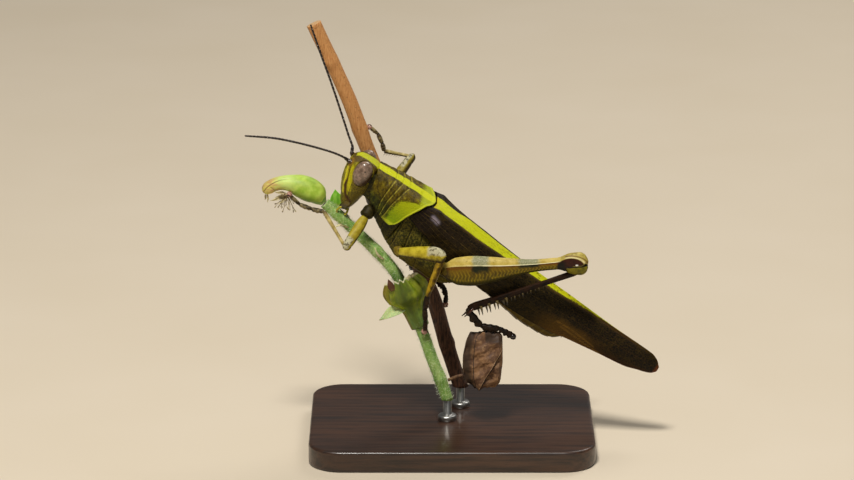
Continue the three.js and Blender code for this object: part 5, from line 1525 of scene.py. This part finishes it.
for name, side in SIDES:
    t = (1 - np.cos(np.linspace(0, np.pi, 260)))[:, None] / 2 * 0.35 + np.linspace(0, 1, 260)[:, None] * 0.65
    share = np.linspace(0, 1, 110)[None]
    start = -smooth(OVERLAP, 13.8 + (WING_TIP - 13.8) * t) if side < 0 else 0 * t
    v = start + (1 - start) * share
    over, beneath = (cover(t, v, side, depth) for depth in (0.0, 0.26))
    right_half = over * (1, side, 1)
    x, y, z = np.moveaxis(right_half, -1, 0)
    rim = ridge((1 - t) * 8 + 0 * v, 0.14) + ridge((1 - v) * 9, 0.18) * np.clip((x - 40) / 12, 0, 1)
    rim = rim + ridge((v - start) * 8, 0.16) * np.clip((x - 54) / 6, 0, 1)
    welt = ridge((v - start) * 8 - 0.1, 0.12) * (side < 0) + ridge((1 - v) * 9 - 0.1, 0.14)
    over = over + (over - beneath) * (0.16 * welt)[..., None]
    off_band = y - smooth(BAND_REACH, x) if side < 0 else 9 + 0 * x
    streak = np.max([ridge(line_distance(right_half, line)[0], 0.26) for line in PALE_STREAKS], axis=0)
    cover_fields = {"hem": v, "rim": np.clip(rim, 0, 1), "off_band": off_band, "streak": streak,
                    "lilac_sheen": ridge(line_distance(right_half, LILAC_SHEEN_PATCH)[0], 0.6)}
    insect_piece(f"wing_cover_{name}", skin(sheet(over, beneath), "fold"), wing_finish, "forewing",
                 [f"tegmen_{name}"], **cover_fields)
    wing_veins(f"wing_veins_{name}", side, 20 + side)

# ---------------------------------------------------------------------------------------------
# Legs. Each has a hip joint, a small ring joint, a thigh, a shin with two rows of spines, and a
# foot of three padded joints with a soft sole pad between two claws. The hind thighs are keeled
# and ribbed like a fish's backbone, with broad rounded knees.

UPRIGHT = [-0.56, 0.17, 0.81]
LEGS = {
    "fore_left": dict(root=[2.7, -2.4, -8.2], hip=[2.7, -4.0, -10.1], knee=[2.4, -9.7, -15.7],
                      ankle=[-5.1, -4.9, -13.7], up=[-0.8, 0, 0.6],
                      foot=[[-7.5, -4.6, -14.9], [-10.1, -4.2, -15.7], [-12.5, -3.7, -15.5]]),
    "fore_right": dict(root=[2.9, 2.2, -8.4], hip=[4.4, 4.9, -8.8], knee=[5.5, 12.3, 0],
                       ankle=[-0.2, 10.9, -1.8], up=[-0.7, 0.6, 0.4],
                       foot=[[-1.5, 11.0, -0.6], [-3.4, 11.2, 0.6], [-5.2, 11.6, 0.7]]),
    "mid_left": dict(root=[12.4, -3.0, -12.1], hip=[12.6, -5.8, -11.8], knee=[19.6, -10.1, -4.9],
                     ankle=[22.8, -6.4, -16.4], up=UPRIGHT,
                     foot=[[24.1, -6.4, -19.3], [25.8, -6.1, -21.7], [27.0, -5.8, -23.7]]),
    "mid_right": dict(root=[12.6, 2.8, -12.2], hip=[13.0, 5.5, -11.6], knee=[22.3, 12.1, -12.6],
                      ankle=[25.2, 8.6, -19.4], up=UPRIGHT,
                      foot=[[27.3, 8.1, -19.7], [28.6, 7.7, -20.8], [29.3, 7.3, -22.1]]),
    "hind_left": dict(root=[22.2, -4.0, -10.1], hip=[22.4, -7.3, -8.9], knee=[44.4, -5.8, 8.85],
                      heel=[45.7, -5.8, 7.7], ankle=[31.3, -6.2, -14.0], up=UPRIGHT,
                      foot=[[36.1, -5.4, -15.9], [39.6, -4.8, -14.5], [42.7, -4.6, -14.3]]),
    "hind_right": dict(root=[22.2, 4.0, -10.1], hip=[22.2, 7.3, -8.9], knee=[50.3, 10.3, -8.4],
                       heel=[51.2, 10.3, -9.7], ankle=[26.4, 12.5, -16.2], up=[0, 0, 1],
                       foot=[[23.5, 12.1, -17.4], [20.5, 10.5, -18.6], [18.9, 8.6, -19.9]])}
# Rows of (part of the way, half width, above, below); a last number that repeats is left out
FORE_HIP = [(-0.06, 0.5), (0, 1.0), (0.3, 1.28), (0.75, 1.4), (0.97, 0.95), (1.04, 0.3)]
MID_HIP = [(-0.06, 0.5), (0, 0.95), (0.3, 1.2), (0.75, 1.05), (0.95, 0.65), (1.04, 0.25)]
HIND_HIP = [(-0.06, 0.7), (0, 1.25), (0.5, 1.42), (0.85, 1.25), (1, 0.85), (1.05, 0.4)]
FORE_THIGH = [(-0.04, 0.25), (0, 0.7), (0.06, 0.9), (0.3, 1.08, 1.15), (0.65, 0.98, 1.1), (0.88, 0.9, 0.98),
              (0.98, 0.84, 0.92), (1.03, 0.6, 0.66), (1.06, 0.2)]
MID_THIGH = [(-0.04, 0.2), (0, 0.5, 0.7, 0.6), (0.06, 0.7, 1.0, 0.75), (0.2, 0.95, 1.2, 0.88),
             (0.5, 1.1, 1.6, 1.15), (0.83, 1.05, 1.75, 1.6), (0.97, 0.9, 1.35, 1.75),
             (1.03, 0.65, 0.9, 1.2), (1.07, 0.25, 0.3, 0.4)]
HIND_THIGH = [(-0.03, 0.25, 0.45), (-0.02, 0.5, 0.9), (0.03, 0.95, 1.9, 2.3), (0.1, 1.35, 2.6, 3.2),
              (0.2, 1.5, 2.75, 3.5), (0.34, 1.35, 2.35, 3.05), (0.5, 1.0, 1.75, 2.05),
              (0.68, 0.66, 1.25, 1.2), (0.82, 0.65, 1.35, 1.05), (0.94, 0.95, 2.3), (1.0, 0.92, 2.35, 2.6),
              (1.035, 0.7, 1.9, 2.15), (1.055, 0.35, 0.9, 1.0), (1.06, 0.15, 0.3)]
FORE_SHIN = [(-0.03, 0.15, 0.2), (0.0, 0.32, 0.36), (0.03, 0.42, 0.46), (0.12, 0.34, 0.36),
             (0.3, 0.34, 0.36), (0.95, 0.44), (0.99, 0.36), (1.0, 0.15)]
MID_SHIN = [(-0.02, 0.15), (0.0, 0.3), (0.03, 0.5, 0.52), (0.2, 0.72, 0.8), (0.55, 0.7, 0.78),
            (0.9, 0.52, 0.58), (0.99, 0.42, 0.45), (1.0, 0.2)]
HIND_SHIN = [(-0.01, 0.15), (0, 0.38), (0.025, 0.55, 0.78), (0.05, 0.45, 0.55), (0.08, 0.5, 0.65),
             (0.3, 0.45, 0.58), (0.7, 0.5, 0.68), (0.93, 0.6, 0.85), (0.985, 0.45, 0.6), (0.995, 0.2, 0.25)]
FOOT = [(-0.02, 0.12, 0.1), (0.03, 0.3, 0.28), (0.6, 0.4, 0.3, 0.5), (0.93, 0.3, 0.26, 0.36),
        (1.0, 0.25, 0.25, 0.26), (1.08, 0.32, 0.28, 0.34), (1.6, 0.38, 0.3, 0.45), (1.92, 0.28, 0.26, 0.32),
        (2.0, 0.24, 0.24, 0.25),
        (2.1, 0.26, 0.25, 0.27), (2.6, 0.33, 0.3, 0.36), (2.93, 0.3, 0.3, 0.34), (3.04, 0.1)]
PROFILES = {"fore": (FORE_HIP, FORE_THIGH, FORE_SHIN), "mid": (MID_HIP, MID_THIGH, MID_SHIN),
            "hind": (HIND_HIP, HIND_THIGH, HIND_SHIN)}
RING_JOINTS = {"fore": 0.75, "mid": 0.6, "hind": 1.05}
FOOT_SCALES = {"fore": 1.3, "mid": 1.6, "hind": 1.9}


def measures(profile, t, scale=1):
    """The half width and the heights above and below the middle, a part of the way along."""
    return (smooth([(row[0], row[:k + 1][-1] * scale) for row in profile], t)[:, None] for k in (1, 2, 3))


def limb(start, end, up, profile, around, rows):
    """Rings of a straight limb piece, with how far along, how high and how far aside they are."""
    first, last = profile[0][0], profile[-1][0]
    even = np.linspace(0, 1, rows)
    t = first + (last - first) * (0.75 * even + 0.25 * (1 - np.cos(np.pi * even)) / 2)
    turn = circle(around)[None]
    wide, above, below = measures(profile, t)
    line = np.array(start, float) + np.outer(t, np.subtract(end, start))
    grid = ringed(line, up, wide, np.where(np.sin(turn) > 0, above, below), around)
    flat = np.zeros((rows, around))
    return grid, t[:, None] + flat, np.sin(turn) + flat, np.cos(turn) + flat


def hip_cuticle():
    shell = Finish("hip_cuticle")
    cloud = shell.noise(0.9, 4.0, 0.6)
    fine = shell.noise(4.0, 3.0, 0.6)
    shell.colour = shell.mottled(cloud, 0x1C1705, 0x3A320C)
    pale = shell.mottled(cloud, 0x6E5A14, 0xA38D30)
    shell.lay(pale, shell.field("pale"))
    shell.fade(0x1C1408, shell.field("reach"), 0.86, 1.0)
    return shell.done((fine, 0.45, 0.6), shell.bump(fine, 0.06), Specular_IOR_Level=0.15)


def thigh_cuticle():
    thigh = Finish("thigh_cuticle")
    up, reach = thigh.field("up"), thigh.field("reach")
    cloud = thigh.noise(0.8, 4.0, 0.6)
    fine = thigh.noise(4.5, 3.0, 0.6)
    blur = thigh.times(thigh.plus(cloud, -0.5), 0.8)
    high = thigh.plus(up, blur)
    along = thigh.plus(reach, thigh.times(blur, 0.12))
    top = thigh.mottled(cloud, 0x9E8C14, 0xC4B432)
    olive = thigh.mix(thigh.field("olive"), top, 0x7E7028)
    # Painted shade: the underside is dark.
    thigh.colour = thigh.mix(thigh.step(high, -0.75, -0.1), 0x362A06, olive)
    # Near the knee the upper side is grey-white and speckled: partly a pale speckled marking, partly a
    # painted highlight.
    dots = thigh.noise(1.9, 1.0, 0.5)
    mottled = thigh.mix(thigh.step(dots, 0.5, 0.64, 0.0, 0.85), 0xB9B494, 0x4E4630)
    patch = thigh.times(thigh.step(along, 0.68, 0.76), thigh.step(high, -0.15, 0.2))
    thigh.lay(mottled, thigh.times(patch, 0.95))
    thigh.fade(0x2E2008, along, 0.0, 0.05, 0.85, 0.0)
    thigh.fade(0x4E3A0A, fine, 0.6, 0.7, 0.0, 0.5)
    return thigh.done((fine, 0.38, 0.54), thigh.bump(fine, 0.06), Specular_IOR_Level=0.25)


def hind_thigh_cuticle():
    thigh = Finish("hind_thigh_cuticle")
    up, reach = thigh.field("up"), thigh.field("reach")
    cloud = thigh.noise(0.55, 4.0, 0.6)
    fine = thigh.noise(4.0, 3.0, 0.6)
    blur = thigh.times(thigh.plus(cloud, -0.5), 0.55)
    along = thigh.plus(reach, thigh.times(blur, 0.1))
    high = thigh.plus(up, blur)
    bands = thigh.plus(thigh.band(along, 0.215, 0.335, 0.018), thigh.band(along, 0.545, 0.7, 0.022))
    top = thigh.mottled(cloud, 0xAE9638, 0xC8B25C)
    grey = thigh.mix(thigh.step(fine, 0.5, 0.62), 0x747C5E, 0xAAAC92)
    top = thigh.mix(thigh.times(bands, 0.85), top, grey)
    # Painted shade: the face below the ledge is a darkened olive.
    thigh.colour = thigh.mix(thigh.step(high, -0.8, 0.1), 0x443E02, 0x6E5404)
    thigh.lay(0xA08812, thigh.times(thigh.field("rib"), 0.7))
    amber = thigh.times(thigh.step(high, 0.0, 0.28), thigh.step(along, 0.2, 0.95, 0.75, 1.0))
    thigh.lay(0x653806, amber)
    patches = thigh.times(thigh.step(cloud, 0.5, 0.68, 0.0, 0.7), thigh.step(along, 0.1, 0.2))
    thigh.lay(0x2C2402, patches)
    dark = thigh.times(bands, thigh.step(high, -0.35, 0.1))
    thigh.lay(0x161C08, dark)
    # Painted shade: darkest underneath.
    thigh.fade(0x1E1C02, high, -1.0, -0.66, 0.8, 0.0)
    ledge = thigh.field("ledge")
    thigh.fade(top, ledge, -0.03, 0.03)
    ledge_fade = thigh.step(thigh.plus(along, blur), 0.1, 0.45, 0.15, 1.0)
    thigh.lay(0xDCD6A8, thigh.times(thigh.band(ledge, 0.0, 0.09, 0.03), ledge_fade))
    thigh.fade(thigh.mottled(cloud, 0x8E7A2E, 0xC4B45C), along, 0.845, 0.865)
    thigh.fade(thigh.mottled(cloud, 0x4E4A06, 0x8A7E10), thigh.field("lobe"), -0.05, 0.05, 1.0, 0.0)
    thigh.lay(0x140E04, thigh.band(thigh.field("lobe"), -0.16, 0.16, 0.05))
    thigh.fade(thigh.mottled(cloud, 0x180804, 0x3A160A), thigh.field("crescent"), -0.06, 0.06, 1.0, 0.0)
    thigh.fade(0xE0D4A4, thigh.field("arch"), 0.35, 0.75)
    thigh.fade(0x6A4A28, thigh.field("arch"), -0.7, -0.3, 0.8, 0.0)
    thigh.fade(0x0C0904, thigh.field("neck"), 0.25, 0.7)
    thigh.fade(0xE4E0D6, thigh.field("glint"), 0.4, 0.8)
    thigh.fade(0x2F220B, along, 0.0, 0.045, 0.8, 0.0)
    thigh.fade(0x40340C, fine, 0.6, 0.68, 0.0, 0.6)
    return thigh.done((fine, 0.36, 0.52), thigh.bump(fine, 0.06), Specular_IOR_Level=0.25)


def shin_cuticle():
    shin = Finish("shin_cuticle")
    cloud = shin.noise(1.0, 4.0, 0.6)
    fine = shin.noise(5.0, 3.0, 0.6)
    high = shin.plus(shin.field("up"), shin.times(shin.plus(cloud, -0.5), 0.8))
    shin.colour = shin.mottled(cloud, 0xB08C0C, 0xD2B024)
    pale = shin.mottled(cloud, 0x7E7244, 0xBDB284)
    shin.lay(pale, shin.field("olive"))
    # Painted shade: the underside is darker.
    shin.fade(0x302008, high, -1.0, -0.55, 0.9, 0.0)
    shin.fade(0x3A2714, shin.field("reach"), 0.8, 1.0, 0.0, 0.75)
    shin.fade(0x40300E, fine, 0.6, 0.7, 0.0, 0.5)
    return shin.done((fine, 0.38, 0.54), shin.bump(fine, 0.05), Specular_IOR_Level=0.25)


def hind_shin_cuticle():
    shin = Finish("hind_shin_cuticle")
    cloud = shin.noise(0.8, 4.0, 0.6)
    fine = shin.noise(4.0, 3.0, 0.6)
    shin.colour = shin.mottled(cloud, 0x0C0602, 0x241206)
    # Painted light: the upper side is a lighter brown.
    shin.fade(0x402408, shin.field("up"), 0.2, 0.9, 0.0, 0.4)
    shin.lay(0x4E380E, shin.band(shin.field("reach"), 0.04, 0.075, 0.012))
    return shin.done((fine, 0.4, 0.55), shin.bump(fine, 0.06), Specular_IOR_Level=0.15)


def foot_cuticle():
    foot = Finish("foot_cuticle")
    cloud = foot.noise(1.2, 3.0, 0.6)
    fine = foot.noise(5.0, 3.0, 0.6)
    foot.colour = foot.mottled(cloud, 0x0B0602, 0x221204)
    pale = foot.mix(foot.step(cloud, 0.4, 0.6), 0x35280F, 0x9A8A5E)
    foot.lay(pale, foot.field("olive"))
    foot.fade(0x3E2A12, foot.field("up"), -0.9, -0.2, 0.3, 0.0)
    foot.lay(0x0A0705, foot.field("joint"))
    return foot.done((fine, 0.36, 0.5), foot.bump(fine, 0.05), Specular_IOR_Level=0.2)


def sole_pad():
    pad = Finish("sole_pad")
    fine = pad.noise(4.0, 3.0)
    pale = pad.mottled(fine, 0x94665A, 0xCCA090)
    pad.colour = pad.mix(pad.field("pale"), 0x140A06, pale)
    return pad.done(0.2, pad.bump(fine, 0.03), Coat_Weight=0.6, Subsurface_Weight=0.1,
                    Subsurface_Scale=0.0005)


hip_finish, thigh_finish, hind_thigh_finish = hip_cuticle(), thigh_cuticle(), hind_thigh_cuticle()
shin_finish, hind_shin_finish, foot_finish = shin_cuticle(), hind_shin_cuticle(), foot_cuticle()
pad_finish = sole_pad()
claw_finish = dark_horn("claw_horn", 0x5C3418, 0x0C0705)
spine_finish = dark_horn("spine_horn", 0x54440F, 0x0A0402)
spur_finish = dark_horn("spur_horn", 0x3E1C0C, 0x140804)
SPINE_TURNING = [(-0.12, 1.1, 1.1), (0.0, 1.0, 1.0), (0.25, 0.72, 0.72), (0.55, 0.48, 0.48),
                 (0.8, 0.28, 0.28), (0.95, 0.12, 0.12), (1.0, 0.03, 0.03)]
spine_shape = small_shape("spine_shape", SPINE_TURNING, 8, bend=0.35)
keep_fields(spine_shape.data, {"reach": np.append(np.repeat([0, 0, 0.2, 0.5, 0.8, 1, 1.0], 8), [0, 1.0])})
THIGH_RIBS, THIGH_BEADS = 38, 46
THIGH_LEDGE = [(0, 0.5), (0.1, 0.42), (0.22, 0.38), (0.5, 0.3), (0.7, 0.36), (0.85, 0.45)]
PALE_HIPS = {"fore_left": 0.0, "fore_right": 0.2, "mid_left": 0.75, "mid_right": 0.4, "hind_left": 0.3,
             "hind_right": 0.3}
OLIVE_LEGS = {"fore_left": 0.35, "fore_right": 0.7, "mid_left": 0.0, "mid_right": 0.3}
OLIVE_SHINS = {"fore_left": 0.7, "fore_right": 0.8, "mid_left": 0.0, "mid_right": 0.4}
OLIVE_FEET = {"fore_left": 0.6, "fore_right": 0.7}
SOLE_SHIFTS = {"mid_left": (-0.12, 0.42, -0.2), "hind_right": (0.32, -0.34, 0.36),
               "fore_left": (0.07, 0.15, 0.16)}     # so that each pad presses against what its foot holds
SMALL_SPINES = [0.26, 0.33, 0.4, 0.47, 0.54, 0.61]
LARGE_SPINES = [0.68, 0.76, 0.83, 0.9]


def spines(name, leg, from_place, places, lengths, lean, splay, girth, material):
    """Two rows of spines on the lower edge of a shin."""
    start, end = np.array(leg[from_place], float), np.array(leg["ankle"], float)
    ahead = unit(end - start)
    out = unit(np.cross(ahead, leg["up"]))
    down = -np.cross(out, ahead)
    roots, aims, sizes = [], [], []
    for side in (-1, 1):
        for at, length in zip(places, lengths):
            reach = down * length + ahead * lean * length + out * side * splay * length
            roots.append(start + (end - start) * (at + 0.017 * side) + out * side * girth * 1.2 + down * 0.45)
            aims.append(reach)
            sizes.append([girth * min(1, length), girth * min(1, length), np.linalg.norm(reach)])
    planted(name, spine_shape, in_place(roots), np.array(aims) @ POSE.T, sizes, material, twist=0.0)


for name, leg in LEGS.items():
    pair = name.split("_")[0]
    hind, scale = pair == "hind", FOOT_SCALES[pair]
    hip_profile, thigh_profile, shin_profile = PROFILES[pair]
    hip, reach, up, aside = limb(leg["root"], leg["hip"], leg["up"], hip_profile, 40, 50)
    insect_piece(f"hip_{name}", skin(raised(hip, 0.05 * np.sin(9 * reach) * up)), hip_finish, "body_shell",
                 [f"coxa_{name}"], reach=0.8 * reach, pale=PALE_HIPS[name])
    hip_point, knee_point = np.array(leg["hip"]), np.array(leg["knee"])
    out_of_hip = unit(knee_point - hip_point)
    ring_size = RING_JOINTS[pair]
    ring_line = hip_point + np.outer(np.linspace(-0.55, 0.75, 30) * ring_size, out_of_hip)
    ring_girth = ring_size * np.sin(np.linspace(0.25, 2.9, 30))[:, None] ** 0.6
    joint_ring = ringed(ring_line, leg["up"], ring_girth, around=40)
    insect_piece(f"ring_joint_{name}", skin(joint_ring), hip_finish, "body_shell",
                 reach=0, pale=0.25 + 0.5 * PALE_HIPS[name])

    if hind:
        thigh, reach, up, aside = limb(leg["hip"], leg["knee"], leg["up"], thigh_profile, 120, 260)
        span = np.linalg.norm(knee_point - hip_point)
        height = (thigh - (hip_point + (knee_point - hip_point) * reach[..., None])) @ np.cross(
            unit(np.cross(out_of_hip, leg["up"])), out_of_hip)
        shaft = np.clip((0.86 - reach) / 0.05, 0, 1) * np.clip((reach - 0.03) / 0.05, 0, 1)
        ledge_height = smooth(THIGH_LEDGE, reach)
        face = ridge(up + 0.36, 0.34)
        rib = np.cos(2 * np.pi * THIGH_RIBS * (reach + 0.05 * np.abs(up + 0.3)))
        beads = ridge(up + 0.62, 0.08) * (0.5 + 0.5 * np.cos(2 * np.pi * THIGH_BEADS * reach))
        keels = ridge(up - 1, 0.004) + 0.7 * ridge(up + 1, 0.004) + 0.8 * ridge(up - ledge_height, 0.05)
        knee_x, knee_z = (reach - 0.93) * span, height + 0.3
        crescent = np.hypot(knee_x / 2.7, knee_z / 1.6) - 1
        crescent = np.maximum(crescent * 1.4, -knee_z * 1.2 - 0.3 * np.clip(0.6 - knee_x, 0, 3) - 0.1)
        arch = np.clip((knee_x + 1.6) / 0.8, 0, 1) * np.clip((knee_z - 0.1) / 0.4, 0, 1) * (
            ridge(crescent - 0.13, 0.1) - ridge(crescent - 0.42, 0.12))
        lobe = np.maximum(knee_z + 0.3, (0.885 - reach) * 14)
        knob = np.clip((reach - 0.86) / 0.04, 0, 1)
        notch = ridge((reach - 1.04) * span, 0.55) * ridge(knee_z + 0.15, 0.35)
        thigh = raised(thigh, shaft * (0.13 * keels + 0.045 * rib * face + 0.05 * beads) + knob * (
            0.12 * ridge(crescent - 0.15, 0.12) - 0.14 * ridge(lobe, 0.1) - 0.5 * notch))
        fields = {"ledge": up - ledge_height, "rib": np.clip(rib, 0, 1)**2 * face * shaft + beads,
                  "crescent": np.where(reach > 0.82, crescent, 9), "lobe": np.where(reach > 0.8, lobe, 9),
                  "arch": arch * (reach > 0.82),
                  "neck": np.maximum(ridge((reach - 0.856) * span, 0.95) * ridge(height + 0.6, 1.4), notch),
                  "glint": ridge((reach - 0.975) * span, 0.42) * ridge(height + 0.2, 0.24)}
        insect_piece(f"thigh_{name}", skin(thigh), hind_thigh_finish, "femur_shell", [f"femur_{name}"],
                           up=up, reach=reach, **fields)
    else:
        thigh, reach, up, aside = limb(leg["hip"], leg["knee"], leg["up"], thigh_profile, 60, 120)
        keels = ridge(up - 1, 0.02) + ridge(up + 0.8, 0.06) + 0.8 * ridge(np.abs(up) - 0.35, 0.08)
        groove = ridge(reach - 0.93 - 0.05 * up, 0.012)
        thigh = raised(thigh, 0.035 * keels * np.clip((0.9 - reach) * 12, 0, 1) - 0.09 * groove)
        insect_piece(f"thigh_{name}", skin(thigh), thigh_finish, "femur_shell", [f"femur_{name}"], up=up,
                     reach=reach, olive=OLIVE_LEGS[name])

    heel = "heel" if hind else "knee"
    shin, reach, up, aside = limb(leg[heel], leg["ankle"], leg["up"], shin_profile, 48, 160)
    shin_keels = ridge(np.abs(aside) - 0.75, 0.1) * (up < 0) + 0.5 * ridge(up - 1, 0.03)
    shin = raised(shin, 0.05 * shin_keels * np.clip(np.minimum(reach, 1 - reach) * 14, 0, 1))
    slot = "hind_shin" if hind else "shin"
    insect_piece(f"shin_{name}", skin(shin), hind_shin_finish if hind else shin_finish, slot,
                 [f"tibia_{name}"], up=up, reach=reach, olive=OLIVE_SHINS.get(name, 0))
    if hind:
        spines(f"large_spines_{name}", leg, heel, LARGE_SPINES, [1.5, 1.8, 1.9, 1.9], 0.1, 0.05, 0.34,
               spine_finish)
        spines(f"small_spines_{name}", leg, heel, SMALL_SPINES, np.linspace(0.5, 1.1, 6), 0.2, 0.15, 0.18,
               spine_finish)
        spines(f"spurs_{name}", leg, heel, [0.975, 0.985], [1.0, 0.85], 2.2, 0.45, 0.3, spur_finish)
    else:
        spines(f"spines_{name}", leg, heel, np.linspace(0.42, 0.94, 7), np.linspace(0.35, 0.6, 7), 0.5, 0.5,
               0.1, spine_finish)

    stops = np.array([leg["ankle"], *leg["foot"]], float)
    at = np.linspace(-0.02, 3.04, 150)
    line = np.column_stack([np.interp(at, range(4), stops[:, k]) for k in range(3)])
    line[1:-1] = (line[:-2] + 2 * line[1:-1] + line[2:]) / 4
    turn = circle(40)[None]
    wide, above, below = measures(FOOT, at, scale)
    soles = 0.9 + (0.5 if hind else 0.25) * np.sin(3 * np.pi * at[:, None]) ** 2
    foot = ringed(line, leg["up"], wide, np.where(np.sin(turn) > 0, above * soles**0.5, below * soles), 40)
    joint = np.max([ridge(at[:, None] - k, 0.03) for k in (1, 2)], axis=0) + 0 * turn
    insect_piece(f"foot_{name}", skin(foot), foot_finish, "foot", [f"tarsus_{name}"], joint=joint,
                 up=np.sin(turn) + 0 * wide, olive=OLIVE_FEET.get(name, 0))
    tip, ahead = stops[-1], unit(stops[-1] - stops[-2])
    out = unit(np.cross(ahead, leg["up"]))
    lift = np.cross(out, ahead)
    for number, side in enumerate((-1, 1)):
        bow = [tip - 0.25 * ahead, tip + 0.3 * ahead + 0.38 * side * out + 0.12 * lift,
               tip + 0.68 * ahead + 0.66 * side * out - 0.02 * lift,
               tip + 0.86 * ahead + 0.7 * side * out - 0.34 * lift]
        t = np.linspace(0, 1, 26)
        claw = ringed(way(bow, 26), lift, (0.19 * (1 - 0.9 * t**1.5) * scale**0.5)[:, None], around=16)
        insect_piece(f"claw_{name}_{number}", skin(claw), claw_finish, "foot", reach=t[:, None])
    pad = ball(np.zeros(3), (0.54, 0.54, 0.5), 28, 18) * scale**0.5
    pad = pad @ np.array([ahead, out, lift]) + tip + (0.25 if hind else 0.45) * ahead - 0.1 * lift
    pad = pad + SOLE_SHIFTS.get(name, (0, 0, 0))
    insect_piece(f"sole_pad_{name}", skin(pad), pad_finish, "foot", pale=1 - hind)

# ---------------------------------------------------------------------------------------------
# The stage: a wide pale floor, a small bright key light, a soft light from behind and a weak fill,
# and the camera, looking a little down on the insect's left side.

STAGE_REACH = 4.0


def pale_floor():
    paper = Finish("pale_floor")
    fleck = paper.noise(0.02, 2.0)
    paper.colour = paper.mix(fleck, 0xD2C5AE, 0xD8CCB8)
    return paper.done(0.9)


stage_mesh = bpy.data.meshes.new("studio_floor")
floor_corners = np.array([(-1, -1, 0), (1, -1, 0), (1, 1, 0), (-1, 1, 0)]) * STAGE_REACH
stage_mesh.from_pydata(floor_corners.tolist(), [], [(0, 1, 2, 3)])
stage_mesh.materials.append(pale_floor())
studio_floor = bpy.data.objects.new("studio_floor", stage_mesh)
bpy.context.scene.collection.objects.link(studio_floor)

LOOK_AT = (-0.00525, 0.0, 0.0437)     # the middle of the view
VIEW_DISTANCE = 0.8
VIEW_DOWN = 16                        # degrees below level
LENS = 160.6


def soft_light(name, place, size, power, colour):
    lamp = bpy.data.lights.new(name, "AREA")
    lamp.shape = "SQUARE"
    lamp.size = size
    lamp.energy = power
    lamp.color = colour
    light = bpy.data.objects.new(name, lamp)
    away = Matrix.Translation(place).to_translation() - Matrix.Translation(LOOK_AT).to_translation()
    light.rotation_euler = away.to_track_quat("Z", "Y").to_euler()
    light.location = place
    bpy.context.scene.collection.objects.link(light)


soft_light("key_light", (-0.12, -0.42, 0.85), 0.16, 8.2, (1.0, 0.96, 0.9))
soft_light("back_light", (0.35, 0.5, 0.7), 0.4, 2.8, (1.0, 0.97, 0.93))
soft_light("fill_light", (0.5, -0.9, 0.3), 0.8, 0.5, (0.96, 0.98, 1.0))

world = bpy.data.worlds.new("studio")
world.use_nodes = True
world.node_tree.nodes["Background"].inputs["Color"].default_value = (0.85, 0.83, 0.8, 1.0)
world.node_tree.nodes["Background"].inputs["Strength"].default_value = 0.13
bpy.context.scene.world = world
bpy.context.scene.view_settings.view_transform = "Standard"

lens = bpy.data.cameras.new("camera")
lens.sensor_width = 36
lens.lens = LENS
lens.clip_start = 0.01
camera = bpy.data.objects.new("camera", lens)
tilt = Matrix.Rotation(radians(90 - VIEW_DOWN), 4, "X")
camera.matrix_world = Matrix.Translation(LOOK_AT) @ tilt @ Matrix.Translation((0, 0, VIEW_DISTANCE))
bpy.context.scene.collection.objects.link(camera)
bpy.context.scene.camera = camera
